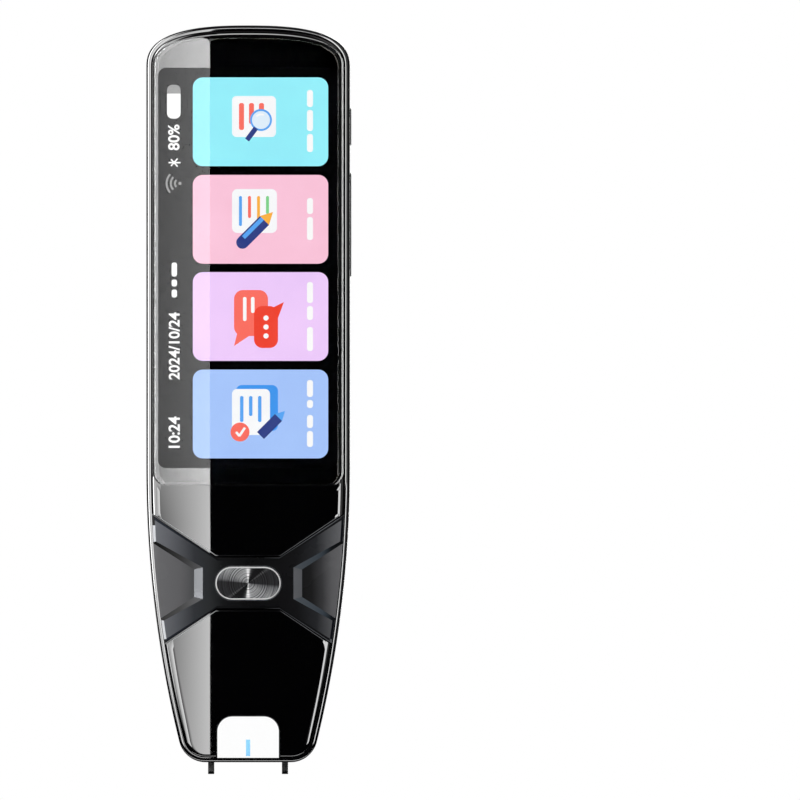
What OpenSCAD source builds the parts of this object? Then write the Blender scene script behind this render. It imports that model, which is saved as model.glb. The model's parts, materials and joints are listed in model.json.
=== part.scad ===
// Handheld scanning translator: a flat pen with a tall display on its front, a cross-shaped
// trim round the scan button and a clear scanning tip between two trigger arms.
// Frame: the origin is the scan button's centre on the middle plane of the body. X runs across
// the width, Y from the display side (-) to the back (+), Z along the pen to its top end (+).

/* [Body] */
// Width across the straight sides
body_w = 41.4; // [41:0.1:46]
// Depth of the two housings together
body_d = 12.7; // [12.5:0.1:15]
// Bottom end below the scan button's centre
tip_reach = 36.4; // [36:0.1:39]
// Height of the rounded shoulder at the top end
shoulder_h = 8.6; // [7.6:0.1:10]
// Squareness of the shoulder curve, where 2 is an ellipse
shoulder_n = 2.62; // [2.4:0.02:3]
// Height above the button where the sides begin to taper
taper_start = 23.4; // [20:0.2:28]
// Radius of the tapering sides
taper_r = 234; // [220:2:400]
// Radius of the two bottom corners
tip_corner_r = 5.5; // [5.2:0.1:6.5]

/* [Housings] */
// Wall thickness of both housings
wall = 1.5; // [1.3:0.05:1.7]
// Depth of the seam between the housings behind the middle plane
seam_back = 1.4; // [1.2:0.1:2]
// Reach of the back housing's rounding across the width
edge_reach = 5; // [4:0.1:5.1]
// Radius of the front housing's rim
rim_r = 0.7; // [0.4:0.05:0.9]
// Thickness of the rim in front of the bezel's ledge
lip = 0.9; // [0.7:0.05:1]
// Thickness of the deck that carries the display and the boards
deck_t = 0.8; // [0.6:0.05:1]
// Back face of the deck in front of the middle plane
deck_back = 1.9; // [1.8:0.05:2.1]

/* [Front] */
// Thickness of the glossy bezel
bezel_t = 1.5; // [1.3:0.05:1.8]
// Thickness of the cover glass
glass_t = 1.1; // [0.8:0.05:1.2]
// How far the cover glass stands in front of the bezel
glass_proud = 0.15; // [0.05:0.05:0.3]
// Margin of bezel beside the cover glass
glass_side = 1.3; // [1.2:0.05:1.6]
// Margin of bezel above the cover glass
glass_top = 1.9; // [1.5:0.05:2.4]
// Bottom edge of the cover glass above the button
glass_low = 20; // [18:0.2:21]
// Radius of the cover glass's bottom corners
glass_corner_r = 2.7; // [1.5:0.1:4]
// Margin of body beside the display panel
display_side = 2.4; // [2.3:0.05:3.4]
// Height of the display panel, which the length of the body follows
display_h = 81.4; // [76:0.2:96]
// Top of the display panel below the top end
display_drop = 8.6; // [8.4:0.1:10]
// Margin of cover glass below the display panel
glass_chin = 3.4; // [3:0.1:5]
// Thickness of the display panel
display_t = 1.6; // [1.2:0.05:1.7]
// Thickness of the backlight tray
tray_t = 0.9; // [0.6:0.05:0.95]

/* [Cross cover] */
// Half height of the cross cover's hub
hub_half = 5.45; // [4.8:0.05:6.5]
// Half width of the cross cover's hub
hub_reach = 6.5; // [5:0.1:8]
// Slope of the outer edges of the cross's arms, in degrees
arm_angle = 33.7; // [28:0.1:36]
// Start of the side pockets from the middle
pocket_start = 9.2; // [8.6:0.1:11]
// Half height of the side pockets where they start
pocket_half = 3.2; // [2:0.1:3.6]
// Slope of the side pockets' edges, in degrees
pocket_angle = 28.8; // [24:0.1:31]
// Width of the bevel at the start of each pocket
pocket_bevel = 1.65; // [0.6:0.05:2.4]
// Depth of the side pockets
pocket_depth = 0.5; // [0.2:0.05:0.6]
// How far the cross cover stands in front of the bezel
cross_proud = 0.3; // [0.1:0.05:0.5]
// Depth of the seat that the cross cover lies in
cross_seat = 0.6; // [0.4:0.05:0.8]

/* [Scan button] */
// Length of the scan button across the body
button_w = 13.3; // [11:0.1:14]
// Height of the scan button
button_h = 6.7; // [5:0.1:7.4]
// How far the scan button stands in front of the cross cover
button_proud = 0.15; // [0:0.05:0.4]
// Travel of the scan button
button_travel = 0.4; // [0.2:0.05:0.45]

/* [Side keys] */
// Length of the power key
power_l = 7.6; // [6:0.1:9]
// Centre of the power key below the top end
power_drop = 20.6; // [19:0.1:22]
// Length of the volume rocker
volume_l = 21.1; // [16:0.1:23]
// Centre of the volume rocker below the top end
volume_drop = 40.5; // [39.5:0.1:42]
// Width of the side keys
key_w = 1.9; // [1.4:0.05:2]
// How far the side keys stand out of the wall
key_proud = 0.3; // [0.15:0.05:0.5]

/* [Tip] */
// Width of the notch at the tip
notch_w = 12.5; // [11:0.1:13]
// Height of the notch
notch_h = 9.3; // [8:0.1:9.6]
// Radius of the notch's upper corners
notch_r = 3.05; // [1.5:0.05:4]
// Wall between the notch and the slots of the trigger arms
notch_wall = 0.5; // [0.4:0.05:0.6]
// Width of a trigger arm
arm_w = 1.27; // [1:0.01:1.4]
// Reach of the trigger arms below the tip
arm_reach = 2.4; // [1.6:0.1:3]
// Depth of a trigger arm from front to back
arm_d = 3.3; // [2.4:0.1:3.4]
// Travel of the tip trigger
trigger_travel = 1.2; // [0.6:0.1:1.3]
// Height of the tinted scan window
window_h = 9.3; // [8:0.1:9.8]
// Slope of the scan window, in degrees
window_slope = 16.5; // [10:0.5:18]
// Thickness of the scan window
window_t = 1; // [0.8:0.05:1.2]
// Width of the aiming line
line_w = 0.85; // [0.4:0.05:1.4]
// Length of the aiming line
line_l = 3.35; // [2:0.05:4]

/* [Speaker cover] */
// Half width of the speaker cover
cover_half = 11.9; // [11.4:0.1:13]
// Where the speaker cover's straight sides end, below the top end
cover_side = 38.5; // [38:0.1:41]
// Lowest point of the speaker cover below the top end
cover_point = 46.8; // [45.5:0.1:50]
// Thickness of the speaker cover
cover_t = 0.8; // [0.6:0.05:0.9]
// Centre of the speaker grille below the top end
grille_drop = 18.6; // [18.4:0.1:19.4]
// Pitch of the grille's holes
grille_pitch = 3.13; // [2.6:0.01:3.3]
// Radius of the inner grille holes
grille_r_in = 0.98; // [0.5:0.01:1.2]
// Radius of the outer grille holes
grille_r_out = 0.7; // [0.4:0.01:0.9]

/* [Rear camera] */
// Width of the camera window with its rim
eye_w = 14.7; // [12:0.1:16]
// Height of the camera window with its rim
eye_h = 9.7; // [8.4:0.1:10]
// Radius of the camera window's corners
eye_r = 4.5; // [2:0.05:4.6]
// Centre of the camera below the top end
eye_drop = 31.2; // [31:0.1:32]
// Width of the rim round the camera window
eye_rim = 0.4; // [0.25:0.05:0.6]

/* [Grip pads] */
// Depth of the recessed grip pads
pad_depth = 0.35; // [0.1:0.05:0.45]
// Width of the bevel round the pads
pad_bevel = 1.4; // [0.6:0.05:2]
// Innermost corner of a pad from the middle
pad_inner = 4; // [3:0.1:8]
// Centre height of the upper pads
pad_upper = 55; // [52:0.2:56]
// Centre height of the lower pads
pad_lower = 11.9; // [10:0.2:13]

/* [Boards and battery] */
// Thickness of the circuit boards
board_t = 0.8; // [0.6:0.05:1]
// Room beside the battery for the flex and the key board
battery_side = 5.2; // [5:0.1:7]
// Height of the battery
battery_h = 39.5; // [30:0.2:45]
// Thickness of the battery
battery_t = 5.2; // [3.6:0.1:5.6]
// Edge length of the speaker driver across the body
driver_w = 20; // [19.4:0.1:21]
// Height of the speaker driver
driver_h = 15; // [14:0.1:15.4]

/* [Clearances] */
// Gap round a part that moves
run_gap = 0.12; // [0.08:0.01:0.2]
// Gap round a part that is glued or seated
seat_gap = 0.05; // [0.03:0.01:0.1]

/* [Hidden] */
$fn = 48;
eps = 0.02;
far = 40;
half_w = body_w / 2;
front_y = -body_d / 2;
back_y = body_d / 2;
seam_y = seam_back;
top_z = glass_low + glass_chin + display_h + display_drop;
tip_z = -tip_reach;

// Outline of the body, as [x, z] points that run anticlockwise seen from the front.
shoulder_z = top_z - shoulder_h;
shoulder_steps = 28;
side_steps = 5;
corner_steps = 5;
corner_z = tip_z + tip_corner_r;
corner_x = half_w - taper_r
    + sqrt(pow(taper_r - tip_corner_r, 2) - pow(taper_start - corner_z, 2));
taper_angle = asin((taper_start - corner_z) / (taper_r - tip_corner_r));

// Half an oval that is squarer than an ellipse, from its right end over the top to its left.
function shoulder(a, b, z, n) = [for (k = [0 : shoulder_steps])
    let (t = 180 * k / shoulder_steps, c = cos(t), s = sin(t))
    [a * sign(c) * pow(abs(c), 2 / n), z + b * pow(abs(s), 2 / n)]];
function arc(cx, cz, r, a0, a1, steps) = [for (k = [0 : steps])
    let (t = a0 + (a1 - a0) * k / steps) [cx + r * cos(t), cz + r * sin(t)]];
function outline(inset) = let (cr = max(tip_corner_r - inset, 0.3)) concat(
    shoulder(half_w - inset, shoulder_h - inset, shoulder_z, shoulder_n),
    arc(taper_r - half_w, taper_start, taper_r - inset, 180, 180 + taper_angle, side_steps),
    arc(-corner_x, tip_z + inset + cr, cr, 186 + taper_angle, 270, corner_steps),
    arc(corner_x, tip_z + inset + cr, cr, 270, 354 - taper_angle, corner_steps),
    arc(half_w - taper_r, taper_start, taper_r - inset, -taper_angle, 0, side_steps));

// Outline of the cover glass: the shoulder, straight sides and a straight bottom edge.
glass_half = half_w - glass_side;
function glass_outline(inset) = concat(
    shoulder(glass_half - inset, shoulder_h - glass_top - inset, shoulder_z, shoulder_n),
    arc(-glass_half + glass_corner_r, glass_low + glass_corner_r,
        glass_corner_r - inset, 180, 270, corner_steps),
    arc(glass_half - glass_corner_r, glass_low + glass_corner_r,
        glass_corner_r - inset, 270, 360, corner_steps));

function ring_at(outline_points, y) = [for (p = outline_points) [p[0], y, p[1]]];

// Skin of closed rings that follow each other from the front cap to the back cap.
module loft(rings) {
    count = len(rings[0]);
    last = len(rings) - 1;
    points = [for (ring = rings) for (p = ring) p];
    walls = [for (k = [0 : last - 1]) for (j = [0 : count - 1])
        let (n = (j + 1) % count, a = k * count, b = a + count)
        each [[a + j, a + n, b + n], [a + j, b + n, b + j]]];
    front_cap = [for (j = [0 : count - 1]) count - 1 - j];
    back_cap = [for (j = [0 : count - 1]) last * count + j];
    polyhedron(points, concat(walls, [front_cap, back_cap]), convexity = 6);
}

// Solid whose section [inset, y] is carried round the body's outline.
module body_loft(section) {
    loft([for (s = section) ring_at(outline(s[0]), s[1])]);
}

// Section of the back's rounding, at a depth below the outer surface.
edge_rise = back_y - seam_y;
edge_steps = 6;
function back_curve(depth) = [for (k = [0 : edge_steps]) let (t = 90 * k / edge_steps)
    [depth + (edge_reach - depth) * (1 - cos(t)), seam_y + (edge_rise - depth) * sin(t)]];
function flipped(list) = [for (k = [len(list) - 1 : -1 : 0]) list[k]];

// The body's back half as a solid, down to a depth below its surface.
module back_solid(depth) {
    body_loft(concat([[depth, seam_y - 1]], back_curve(depth)));
}

// What lies outside the back's surface at a depth, from a given Y backwards.
module outside_back(depth, from_y) {
    difference() {
        translate([-far, from_y, tip_z - 5])
            cube([2 * far, far, top_z - tip_z + 10]);
        back_solid(depth);
    }
}

// Plate in the XZ plane with round corners, from y0 to y1, with true arcs.
module round_plate(w, h, r, y0, y1) {
    translate([0, y1, 0])
        rotate([90, 0, 0])
            linear_extrude(y1 - y0) {
                square([w - 2 * r, h], center = true);
                square([w, h - 2 * r], center = true);
                for (sx = [-1, 1])
                    for (sz = [-1, 1])
                        translate([sx * (w / 2 - r), sz * (h / 2 - r)])
                            circle(r);
            }
}

// Box given by its lower and upper corners.
module box(low, high) {
    translate(low)
        cube(high - low);
}

// Cylinder along Y from y0 to y1.
module y_rod(r, x, y0, y1, z) {
    translate([x, y1, z])
        rotate([90, 0, 0])
            cylinder(r = r, h = y1 - y0);
}

// Prism of an [x, z] polygon from y0 to y1.
module y_prism(points, y0, y1) {
    translate([0, y1, 0])
        rotate([90, 0, 0])
            linear_extrude(y1 - y0)
                polygon(points);
}

// Depths of the layers, from the front.
bezel_back = front_y + bezel_t;
glass_front = front_y - glass_proud;
glass_back = glass_front + glass_t;
tape_t = 0.15;
tape_inset = 0.1;
ledge_y = glass_back + tape_t;
panel_back = glass_back + display_t;
display_gap = 2 * seat_gap;
deck_y1 = -deck_back;
deck_y0 = deck_y1 - deck_t;
bezel_inset = lip + seat_gap;
display_w = body_w - 2 * display_side;
display_top = top_z - display_drop;
display_mid = display_top - display_h / 2;
cavity_y = back_y - wall;

// Screws of the housings: two behind the speaker cover, two behind the cross cover.
screw_r = 0.7;
head_r = 1.3;
head_t = 0.6;
board_head_r = 1.2;
post_r = 1.6;
thread_r = screw_r + seat_gap;
upper_screw_x = 9.2;
upper_screw_z = top_z - 8.9;
lower_screw_x = 13.6;
lower_screw_z = 0;
upper_joint_y = seam_y + 0.8;
floor_y = back_y - cover_t;
upper_head_y = floor_y - head_t - seat_gap;

// Side keys, on the right wall seen from the front.
key_y = -0.45;
key_flange_t = 0.75;
key_flange_edge = 0.3;
key_travel = 0.35;
power_z = top_z - power_drop;
volume_z = top_z - volume_drop;
flange_x = half_w - wall - run_gap - key_flange_t;
rocker_swing = 1.7;
rocker_flange_x = flange_x - (volume_l / 2 + key_flange_edge) * sin(rocker_swing);
rocker_stem = volume_l / 2 - 2.6;
stem_x = rocker_flange_x - 0.05;
switch_tip_x = stem_x - key_travel - 0.05;
switch_depth = 1.5;
key_board_x = switch_tip_x - switch_depth;
key_board_t = 0.4;
switch_places = [power_z, volume_z - rocker_stem, volume_z + rocker_stem];

// Notch, trigger arms and scan window.
notch_top = tip_z + notch_h;
slot_in = notch_w / 2 + notch_wall;
slot_out = slot_in + run_gap + arm_w + 2 * run_gap;
arm_x = slot_in + run_gap;
arm_y0 = seam_y + 0.3;
arm_y1 = arm_y0 + arm_d;
slot_top = notch_top + 0.6;
arm_top = slot_top - 0.6 - trigger_travel;
window_low = notch_top + 0.35;
window_top = window_low + window_h;
window_run = window_h * tan(window_slope);
window_len = window_h / cos(window_slope);
window_half = notch_w / 2 + notch_wall - 0.1;
window_sink = 0.3;
window_back_y = back_y - window_sink - window_run - window_t;
sill = 0.3;

// Outline of the notch, open at the bottom, with a margin added all round.
function notch_points(margin, low) = let (w = notch_w / 2 + margin, r = notch_r + margin)
    concat([[w, low]], arc(w - r, notch_top + margin - r, r, 0, 90, 8),
           arc(r - w, notch_top + margin - r, r, 90, 180, 8), [[-w, low]]);

// Scan button: the end of its stem and the tip of the switch that it presses.
button_flange_y = bezel_back + seat_gap;
button_flange = 0.7;
button_stem_y = button_flange_y + 0.8;
scan_switch_y = button_stem_y + button_travel + 0.05;

// Boards, battery and their flexes.
board_y = -0.9;
board_back = board_y + board_t;
lower_y = -1.6;
lower_back = lower_y + board_t;
lower_top = glass_low;
lower_half = 11;
tongue_half = 5.8;
tongue_top = -9.5;
tip_room = 22.4;
lower_low = tip_z + tip_room;
battery_w = body_w - 2 * battery_side;
battery_low = lower_top + 2.6;
battery_y = lower_y + 0.05;
battery_top = battery_low + battery_h;
main_low = battery_top + 1.4;
main_top = top_z - 5.9;
main_left = 4.7 - half_w;
main_right = key_board_x - 2 * key_board_t;
screw_in = 3;
board_screw_l = 1.6;
board_screw_places = [[main_left + screw_in, main_low + screw_in],
                      [main_right - screw_in, main_low + screw_in],
                      [main_left + screw_in, main_top - 8]];
chip_in = 5.6;
chip_gap = 1.2;
memory_w = 5.8;
memory_t = 1;
shield_t = 1.7;
flex_t = 0.2;
flex_w = 12;
flex_slot_z = lower_top - 0.4;
link_left = 2.4 - half_w;
link_t = 0.15;
link_w = 3;
usb_w = 8.94;
usb_h = 3.2;
usb_l = 7.3;
usb_y = board_back + usb_h / 2;
usb_front = top_z - 0.5;
usb_wall = 0.3;
mic_x = main_left + 1.5;
mic_y = seam_y + 0.9;
mic_w = 2.8;

// Scan camera and its two lights, which shine through the roof of the notch.
scan_axis_y = lower_back + 2.4;
light_places = [-3.6, 3.6];
light_y = 0;
light_r = 0.6;
light_t = 0.55;
light_board_half = notch_w / 2 - 0.85;

// Trigger: the cross bar, the springs above the arms and the shelf that they push on.
bar_top = lower_low - 2.5;
bar_h = 1.5;
bar_y0 = deck_y1 + 0.15;
bar_y1 = bar_y0 + 1.1;
leg_y1 = arm_y0 + 0.9;
spring_x = arm_x + arm_w / 2;
spring_y = deck_y1 + 1.5;
spring_r = 1;
spring_wire = 0.3;
spring_turns = 5;
shelf_z = bar_top + 5;

// Rear camera and speaker.
eye_z = top_z - eye_drop;
eye_glass_r = eye_r - seat_gap - eye_rim;
camera_half = 4.2;
chips_low = main_low + 1;
chips_top = eye_z - camera_half - 1.9;
cover_from = seam_y + 2.2;
barrel_r = 3.3;
lens_hole_r = barrel_r + 0.5;
lens_r = 2.15;
lens_y = floor_y - 1.3;
grille_z = top_z - grille_drop;
grille_open = 2 * grille_pitch + grille_r_out + 1.4;
gasket_t = 0.4;
driver_back = cavity_y - gasket_t;
driver_t = 3.3;
cone_r = 6.6;

// Cross of the cover: hub and four arms, with its edges moved in by an inset.
function cross_points(inset) = let (reach = half_w + 1, slope = tan(arm_angle),
    drop = inset / cos(arm_angle), h = hub_half - inset,
    x = hub_reach - (drop - inset) / slope, z = hub_half - drop + (reach - hub_reach) * slope)
    [[reach, z], [x, h], [-x, h], [-reach, z], [-reach, -z], [-x, -h], [x, -h], [reach, -z]];

// Side pocket of the cross cover from start to beyond the edge of the body.
function pocket_points(start, half, side) = let (reach = half_w + 1,
    z = half + (reach - start) * tan(pocket_angle))
    side > 0 ? [[start, -half], [reach, -z], [reach, z], [start, half]]
             : [[-start, half], [-reach, z], [-reach, -z], [-start, -half]];

// Stadium along X from y0 to y1, made of true arcs.
module stadium_x(w, h, y0, y1) {
    for (sx = [-1, 1])
        y_rod(h / 2, sx * (w - h) / 2, y0, y1, 0);
    box([(h - w) / 2, y0, -h / 2], [(w - h) / 2, y1, h / 2]);
}

// Chamfered front edge of such a stadium: its face is at y, its full size at y + edge.
module stadium_chamfer(w, h, y, edge) {
    half = (w - h) / 2;
    for (sx = [-1, 1])
        translate([sx * half, y, 0])
            rotate([-90, 0, 0])
                cylinder(r1 = h / 2 - edge, r2 = h / 2, h = edge);
    translate([-half, y, 0])
        rotate([90, 0, 90])
            linear_extrude(2 * half)
                polygon([[0, edge - h / 2], [edge, -h / 2], [edge, h / 2], [0, h / 2 - edge]]);
}

// Stadium along Z that stands through the side wall, from x0 to x1.
module stadium_side(l, w, x0, x1) {
    for (sz = [-1, 1])
        translate([x0, key_y, sz * (l - w) / 2])
            rotate([0, 90, 0])
                cylinder(r = w / 2, h = x1 - x0);
    box([x0, key_y - w / 2, (w - l) / 2], [x1, key_y + w / 2, (l - w) / 2]);
}

// USB opening in the top end, made through both housings.
module usb_opening() {
    w = usb_w + 2 * run_gap;
    h = usb_h + 2 * run_gap;
    for (sx = [-1, 1])
        translate([sx * (w - h) / 2, usb_y, top_z - 6])
            cylinder(r = h / 2, h = 10);
    box([(h - w) / 2, usb_y - h / 2, top_z - 6], [(w - h) / 2, usb_y + h / 2, top_z + 4]);
}

// Shield-shaped plan of the speaker cover, with its edge moved in by an inset.
cover_corner = 3;
cover_tip_r = 6;
function corner_arc(a, b, c, r, steps) = let (u = (a - b) / norm(a - b), v = (c - b) / norm(c - b),
    m = (u + v) / norm(u + v), half = acos(u * v) / 2, centre = b + m * r / sin(half),
    p = b + u * r / tan(half), q = b + v * r / tan(half),
    t0 = atan2(p[1] - centre[1], p[0] - centre[0]), t1 = atan2(q[1] - centre[1], q[0] - centre[0]),
    sweep = ((t1 - t0 + 540) % 360) - 180)
    [for (k = [0 : steps]) let (t = t0 + sweep * k / steps)
        centre + r * [cos(t), sin(t)]];
function shield_points(inset) = let (w = cover_half - inset, high = top_z + 2,
    side = top_z - cover_side + inset * 0.3,
    slope = (cover_point - cover_side + cover_tip_r * 0.32) / cover_half,
    point = side - w * slope)
    concat([[w, high], [-w, high]],
        corner_arc([-w, high], [-w, side], [0, point], cover_corner, 4),
        corner_arc([-w, side], [0, point], [w, side], cover_tip_r, 8),
        corner_arc([0, point], [w, side], [w, high], cover_corner, 4));

// Grip pad on the left seen from the back (+X), or its mirror, with its edge moved in.
pad_rise = tan(37.5);
function pad_points(z, inset) = let (reach = half_w + 2, run = reach - pad_inner,
    corner = [pad_inner + inset * 1.42, z], low = [13.3 + inset * 0.1, z - 11.4 + inset * 1.3],
    top = [reach, z + run * pad_rise - inset * 1.25],
    out = [reach, low[1] + (reach - low[0]) * pad_rise])
    concat([top], corner_arc(top, corner, low, 4 - inset * 0.9, 5),
           corner_arc(corner, low, out, 4.9 - inset * 0.9, 5), [out]);

// Recesses of the four grip pads: a bevelled edge down to a floor that follows the back.
module pad_cuts() {
    intersection() {
        for (z = [pad_upper, pad_lower])
            for (side = [0, 1])
                mirror([side, 0, 0])
                    loft([ring_at(pad_points(z, pad_bevel), seam_y + 1),
                          ring_at(pad_points(z, pad_bevel), back_y - pad_depth - eps),
                          ring_at(pad_points(z, 0), back_y + eps)]);
        outside_back(pad_depth, seam_y + 1);
    }
}

module front_housing() {
    rim = [for (k = [0 : 3]) let (t = 90 * k / 3)
        [rim_r * (1 - sin(t)), front_y + rim_r * (1 - cos(t))]];
    color("#17181a")
    difference() {
        union() {
            body_loft(concat([[wall, deck_y0], [wall, bezel_back], [lip, bezel_back],
                              [lip, front_y]], rim, [[0, seam_y], [wall, seam_y],
                              [wall, deck_y1]]));
            // Walls that line the notch; their front edges carry the tip window
            intersection() {
                y_prism(notch_points(notch_wall, tip_z - 1), bezel_back, seam_y);
                body_loft([[lip, bezel_back - 1], [lip, seam_y + 1]]);
            }
            // Posts of the upper housing screws
            for (sx = [-1, 1])
                y_rod(post_r, sx * upper_screw_x, deck_y1 - eps, upper_joint_y, upper_screw_z);
            // Standoffs of the main board
            for (p = board_screw_places)
                y_rod(post_r, p[0], deck_y1 - eps, board_y, p[1]);
            // Standoffs of the lower board
            for (sx = [-1, 1])
                for (z = [tongue_top + 2, lower_top - 2])
                    y_rod(1.2, sx * (lower_half - 2), deck_y1 - eps, lower_y, z);
            // Shelves that the trigger springs push on
            for (sx = [-1, 1])
                box([sx * spring_x - 1.4, deck_y1 - eps, shelf_z],
                    [sx * spring_x + 1.4, spring_y + 1.3, shelf_z + 1.2]);
        }
        y_prism(notch_points(0, tip_z - 2), bezel_back - eps, seam_y + 1);
        // Opening of the tip window, above the bar that closes the rim
        y_prism(notch_points(sill, tip_z + lip), front_y - 1, bezel_back);
        for (sx = [-1, 1]) {
            y_rod(thread_r, sx * upper_screw_x, deck_y1 + 0.4, upper_joint_y + 1,
                  upper_screw_z);
            y_rod(screw_r + run_gap, sx * lower_screw_x, deck_y0 - 1, deck_y1 + 1,
                  lower_screw_z);
        }
        for (p = board_screw_places)
            y_rod(thread_r, p[0], deck_y0 - 1, board_y + 1, p[1]);
        // Opening of the scan switch and slot of the display's flex
        box([-2.4, deck_y0 - 1, -2.4], [2.4, deck_y1 + 1, 2.4]);
        box([-flex_w / 2 - 0.5, deck_y0 - 1, flex_slot_z],
            [flex_w / 2 + 0.5, deck_y1 + 1, flex_slot_z + 1.6]);
        // Openings of the side keys
        translate([0, 0, power_z])
            stadium_side(power_l + 2 * run_gap, key_w + 2 * run_gap, half_w - wall - 1,
                         half_w + 2);
        translate([0, 0, volume_z])
            stadium_side(volume_l + 2 * run_gap, key_w + 2 * run_gap, half_w - wall - 1,
                         half_w + 2);
        usb_opening();
        // Light holes in the roof of the notch
        for (x = light_places)
            translate([x, light_y, notch_top - 1])
                cylinder(r = light_r, h = 3);
    }
}

module back_housing() {
    frame_half = slot_in - run_gap;
    color("#3a3b3d")
    difference() {
        union() {
            body_loft(concat(flipped(back_curve(wall)), back_curve(0)));
            intersection() {
                union() {
                    // Walls that line the notch
                    y_prism(notch_points(notch_wall, tip_z - 1), seam_y, back_y - 0.3);
                    // Frame behind the scan window
                    box([-frame_half, window_back_y - 0.8, window_low - 0.9],
                        [frame_half, back_y - 0.3, window_top + 1.4]);
                    // Guides outside the trigger arms
                    for (sx = [-1, 1])
                        box([min(sx * (slot_out), sx * (slot_out + 0.8)), seam_y, tip_z],
                            [max(sx * (slot_out), sx * (slot_out + 0.8)), back_y - 0.3,
                             slot_top + 0.8]);
                }
                back_solid(0.3);
            }
            for (sx = [-1, 1]) {
                y_rod(post_r, sx * upper_screw_x, upper_joint_y, cavity_y + eps,
                      upper_screw_z);
                y_rod(post_r, sx * lower_screw_x, deck_y1, cavity_y + eps, lower_screw_z);
            }
        }
        y_prism(notch_points(0, tip_z - 2), seam_y - 1, back_y + 1);
        // Slots of the trigger arms
        for (sx = [-1, 1])
            arm_slot(sx);
        // Seat and sight hole of the scan window, with its sunk surround
        scan_window_place()
            box([-window_half, -window_t, -seat_gap], [window_half, far, window_len + seat_gap]);
        box([-notch_w / 2 + 0.6, seam_y - 1, window_low + 0.9],
            [notch_w / 2 - 0.6, back_y, window_top - 1]);
        // Recess of the speaker cover
        intersection() {
            y_prism(shield_points(0), cover_from, back_y + 1);
            outside_back(cover_t, cover_from);
        }
        y_rod(grille_open, 0, cavity_y - 1, back_y, grille_z);
        y_rod(lens_hole_r, 0, cavity_y - 1, back_y, eye_z);
        for (sx = [-1, 1]) {
            y_rod(screw_r + run_gap, sx * upper_screw_x, upper_joint_y - 1, back_y,
                  upper_screw_z);
            y_rod(head_r + run_gap, sx * upper_screw_x, upper_head_y, back_y,
                  upper_screw_z);
            y_rod(thread_r, sx * lower_screw_x, deck_y1 - 1, cavity_y - 0.4,
                  lower_screw_z);
        }
        pad_cuts();
        usb_opening();
        // Microphone's hole in the top end
        translate([mic_x, mic_y, top_z - 5])
            cylinder(r = 0.5, h = 8);
    }
}

// Slot of one trigger arm, open at the back and the bottom.
module arm_slot(side) {
    w = slot_out - slot_in;
    x = side > 0 ? slot_in : -slot_out;
    box([x, seam_y - 1, tip_z - 2], [x + w, back_y + 1, slot_top - w / 2]);
    y_rod(w / 2, x + w / 2, seam_y - 1, back_y + 1, slot_top - w / 2);
}

// Frame of the scan window: origin at the lower edge of its outer face, Z up the slope.
module scan_window_place() {
    translate([0, back_y - window_sink - window_run, window_low])
        rotate([-window_slope, 0, 0])
            children();
}

module front_bezel() {
    inset = bezel_inset;
    color("#050506")
    difference() {
        body_loft([[inset + 0.35, front_y], [inset + 0.1, front_y + 0.07],
                   [inset, front_y + 0.25], [inset, bezel_back]]);
        // Seat of the cover glass and opening of the display
        loft([ring_at(glass_outline(-seat_gap), front_y - 1),
              ring_at(glass_outline(-seat_gap), ledge_y)]);
        box([-display_w / 2 - display_gap, ledge_y - 1, display_top - display_h - display_gap],
            [display_w / 2 + display_gap, bezel_back + 1, display_top + display_gap]);
        // Seat of the cross cover, button hole and screw holes behind the cover
        y_prism(cross_points(-seat_gap), front_y - 1, front_y + cross_seat);
        stadium_x(button_w + 2 * run_gap, button_h + 2 * run_gap, front_y - 1,
                  bezel_back + 1);
        for (sx = [-1, 1])
            y_rod(head_r + 0.4, sx * lower_screw_x, front_y, bezel_back + 1, lower_screw_z);
        y_prism(notch_points(sill, tip_z - 2), front_y - 1, bezel_back + 1);
    }
}

module cover_glass() {
    color("#101114", 0.5)
    loft([ring_at(glass_outline(1.2), glass_front), ring_at(glass_outline(0.7), glass_front + 0.04),
          ring_at(glass_outline(0.3), glass_front + 0.16),
          ring_at(glass_outline(0.06), glass_front + 0.36),
          ring_at(glass_outline(0), glass_front + 0.6), ring_at(glass_outline(0), glass_back)]);
}

module glass_tape() {
    color("#0c0c0c")
    difference() {
        loft([ring_at(glass_outline(tape_inset), glass_back),
              ring_at(glass_outline(tape_inset), ledge_y)]);
        box([-display_w / 2 - display_gap, glass_back - 1, display_top - display_h - display_gap],
            [display_w / 2 + display_gap, ledge_y + 1, display_top + display_gap]);
    }
}

module display_panel() {
    color("#20242c")
    translate([0, 0, display_mid])
        round_plate(display_w, display_h, 1, glass_back, panel_back);
}

module backlight_tray() {
    color("#c9ccd0")
    translate([0, 0, display_mid])
        difference() {
            round_plate(display_w, display_h, 1, panel_back, panel_back + tray_t);
            // Shallow pressed field in the tray's back
            round_plate(display_w - 6, display_h - 6, 2, panel_back + tray_t - 0.2,
                        panel_back + tray_t + 1);
        }
}

module display_flex() {
    low = flex_slot_z + 0.3;
    half = flex_w / 2;
    color("#8a5a1c")
    union() {
        // Out of the panel's lower edge, back through the deck and flat onto the board
        box([-half, panel_back - flex_t, low], [half, panel_back, display_top - display_h]);
        box([-half, panel_back - flex_t, low], [half, lower_back + flex_t, low + flex_t]);
        box([-half, lower_back, low - 3], [half, lower_back + flex_t, low + flex_t]);
    }
}

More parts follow.
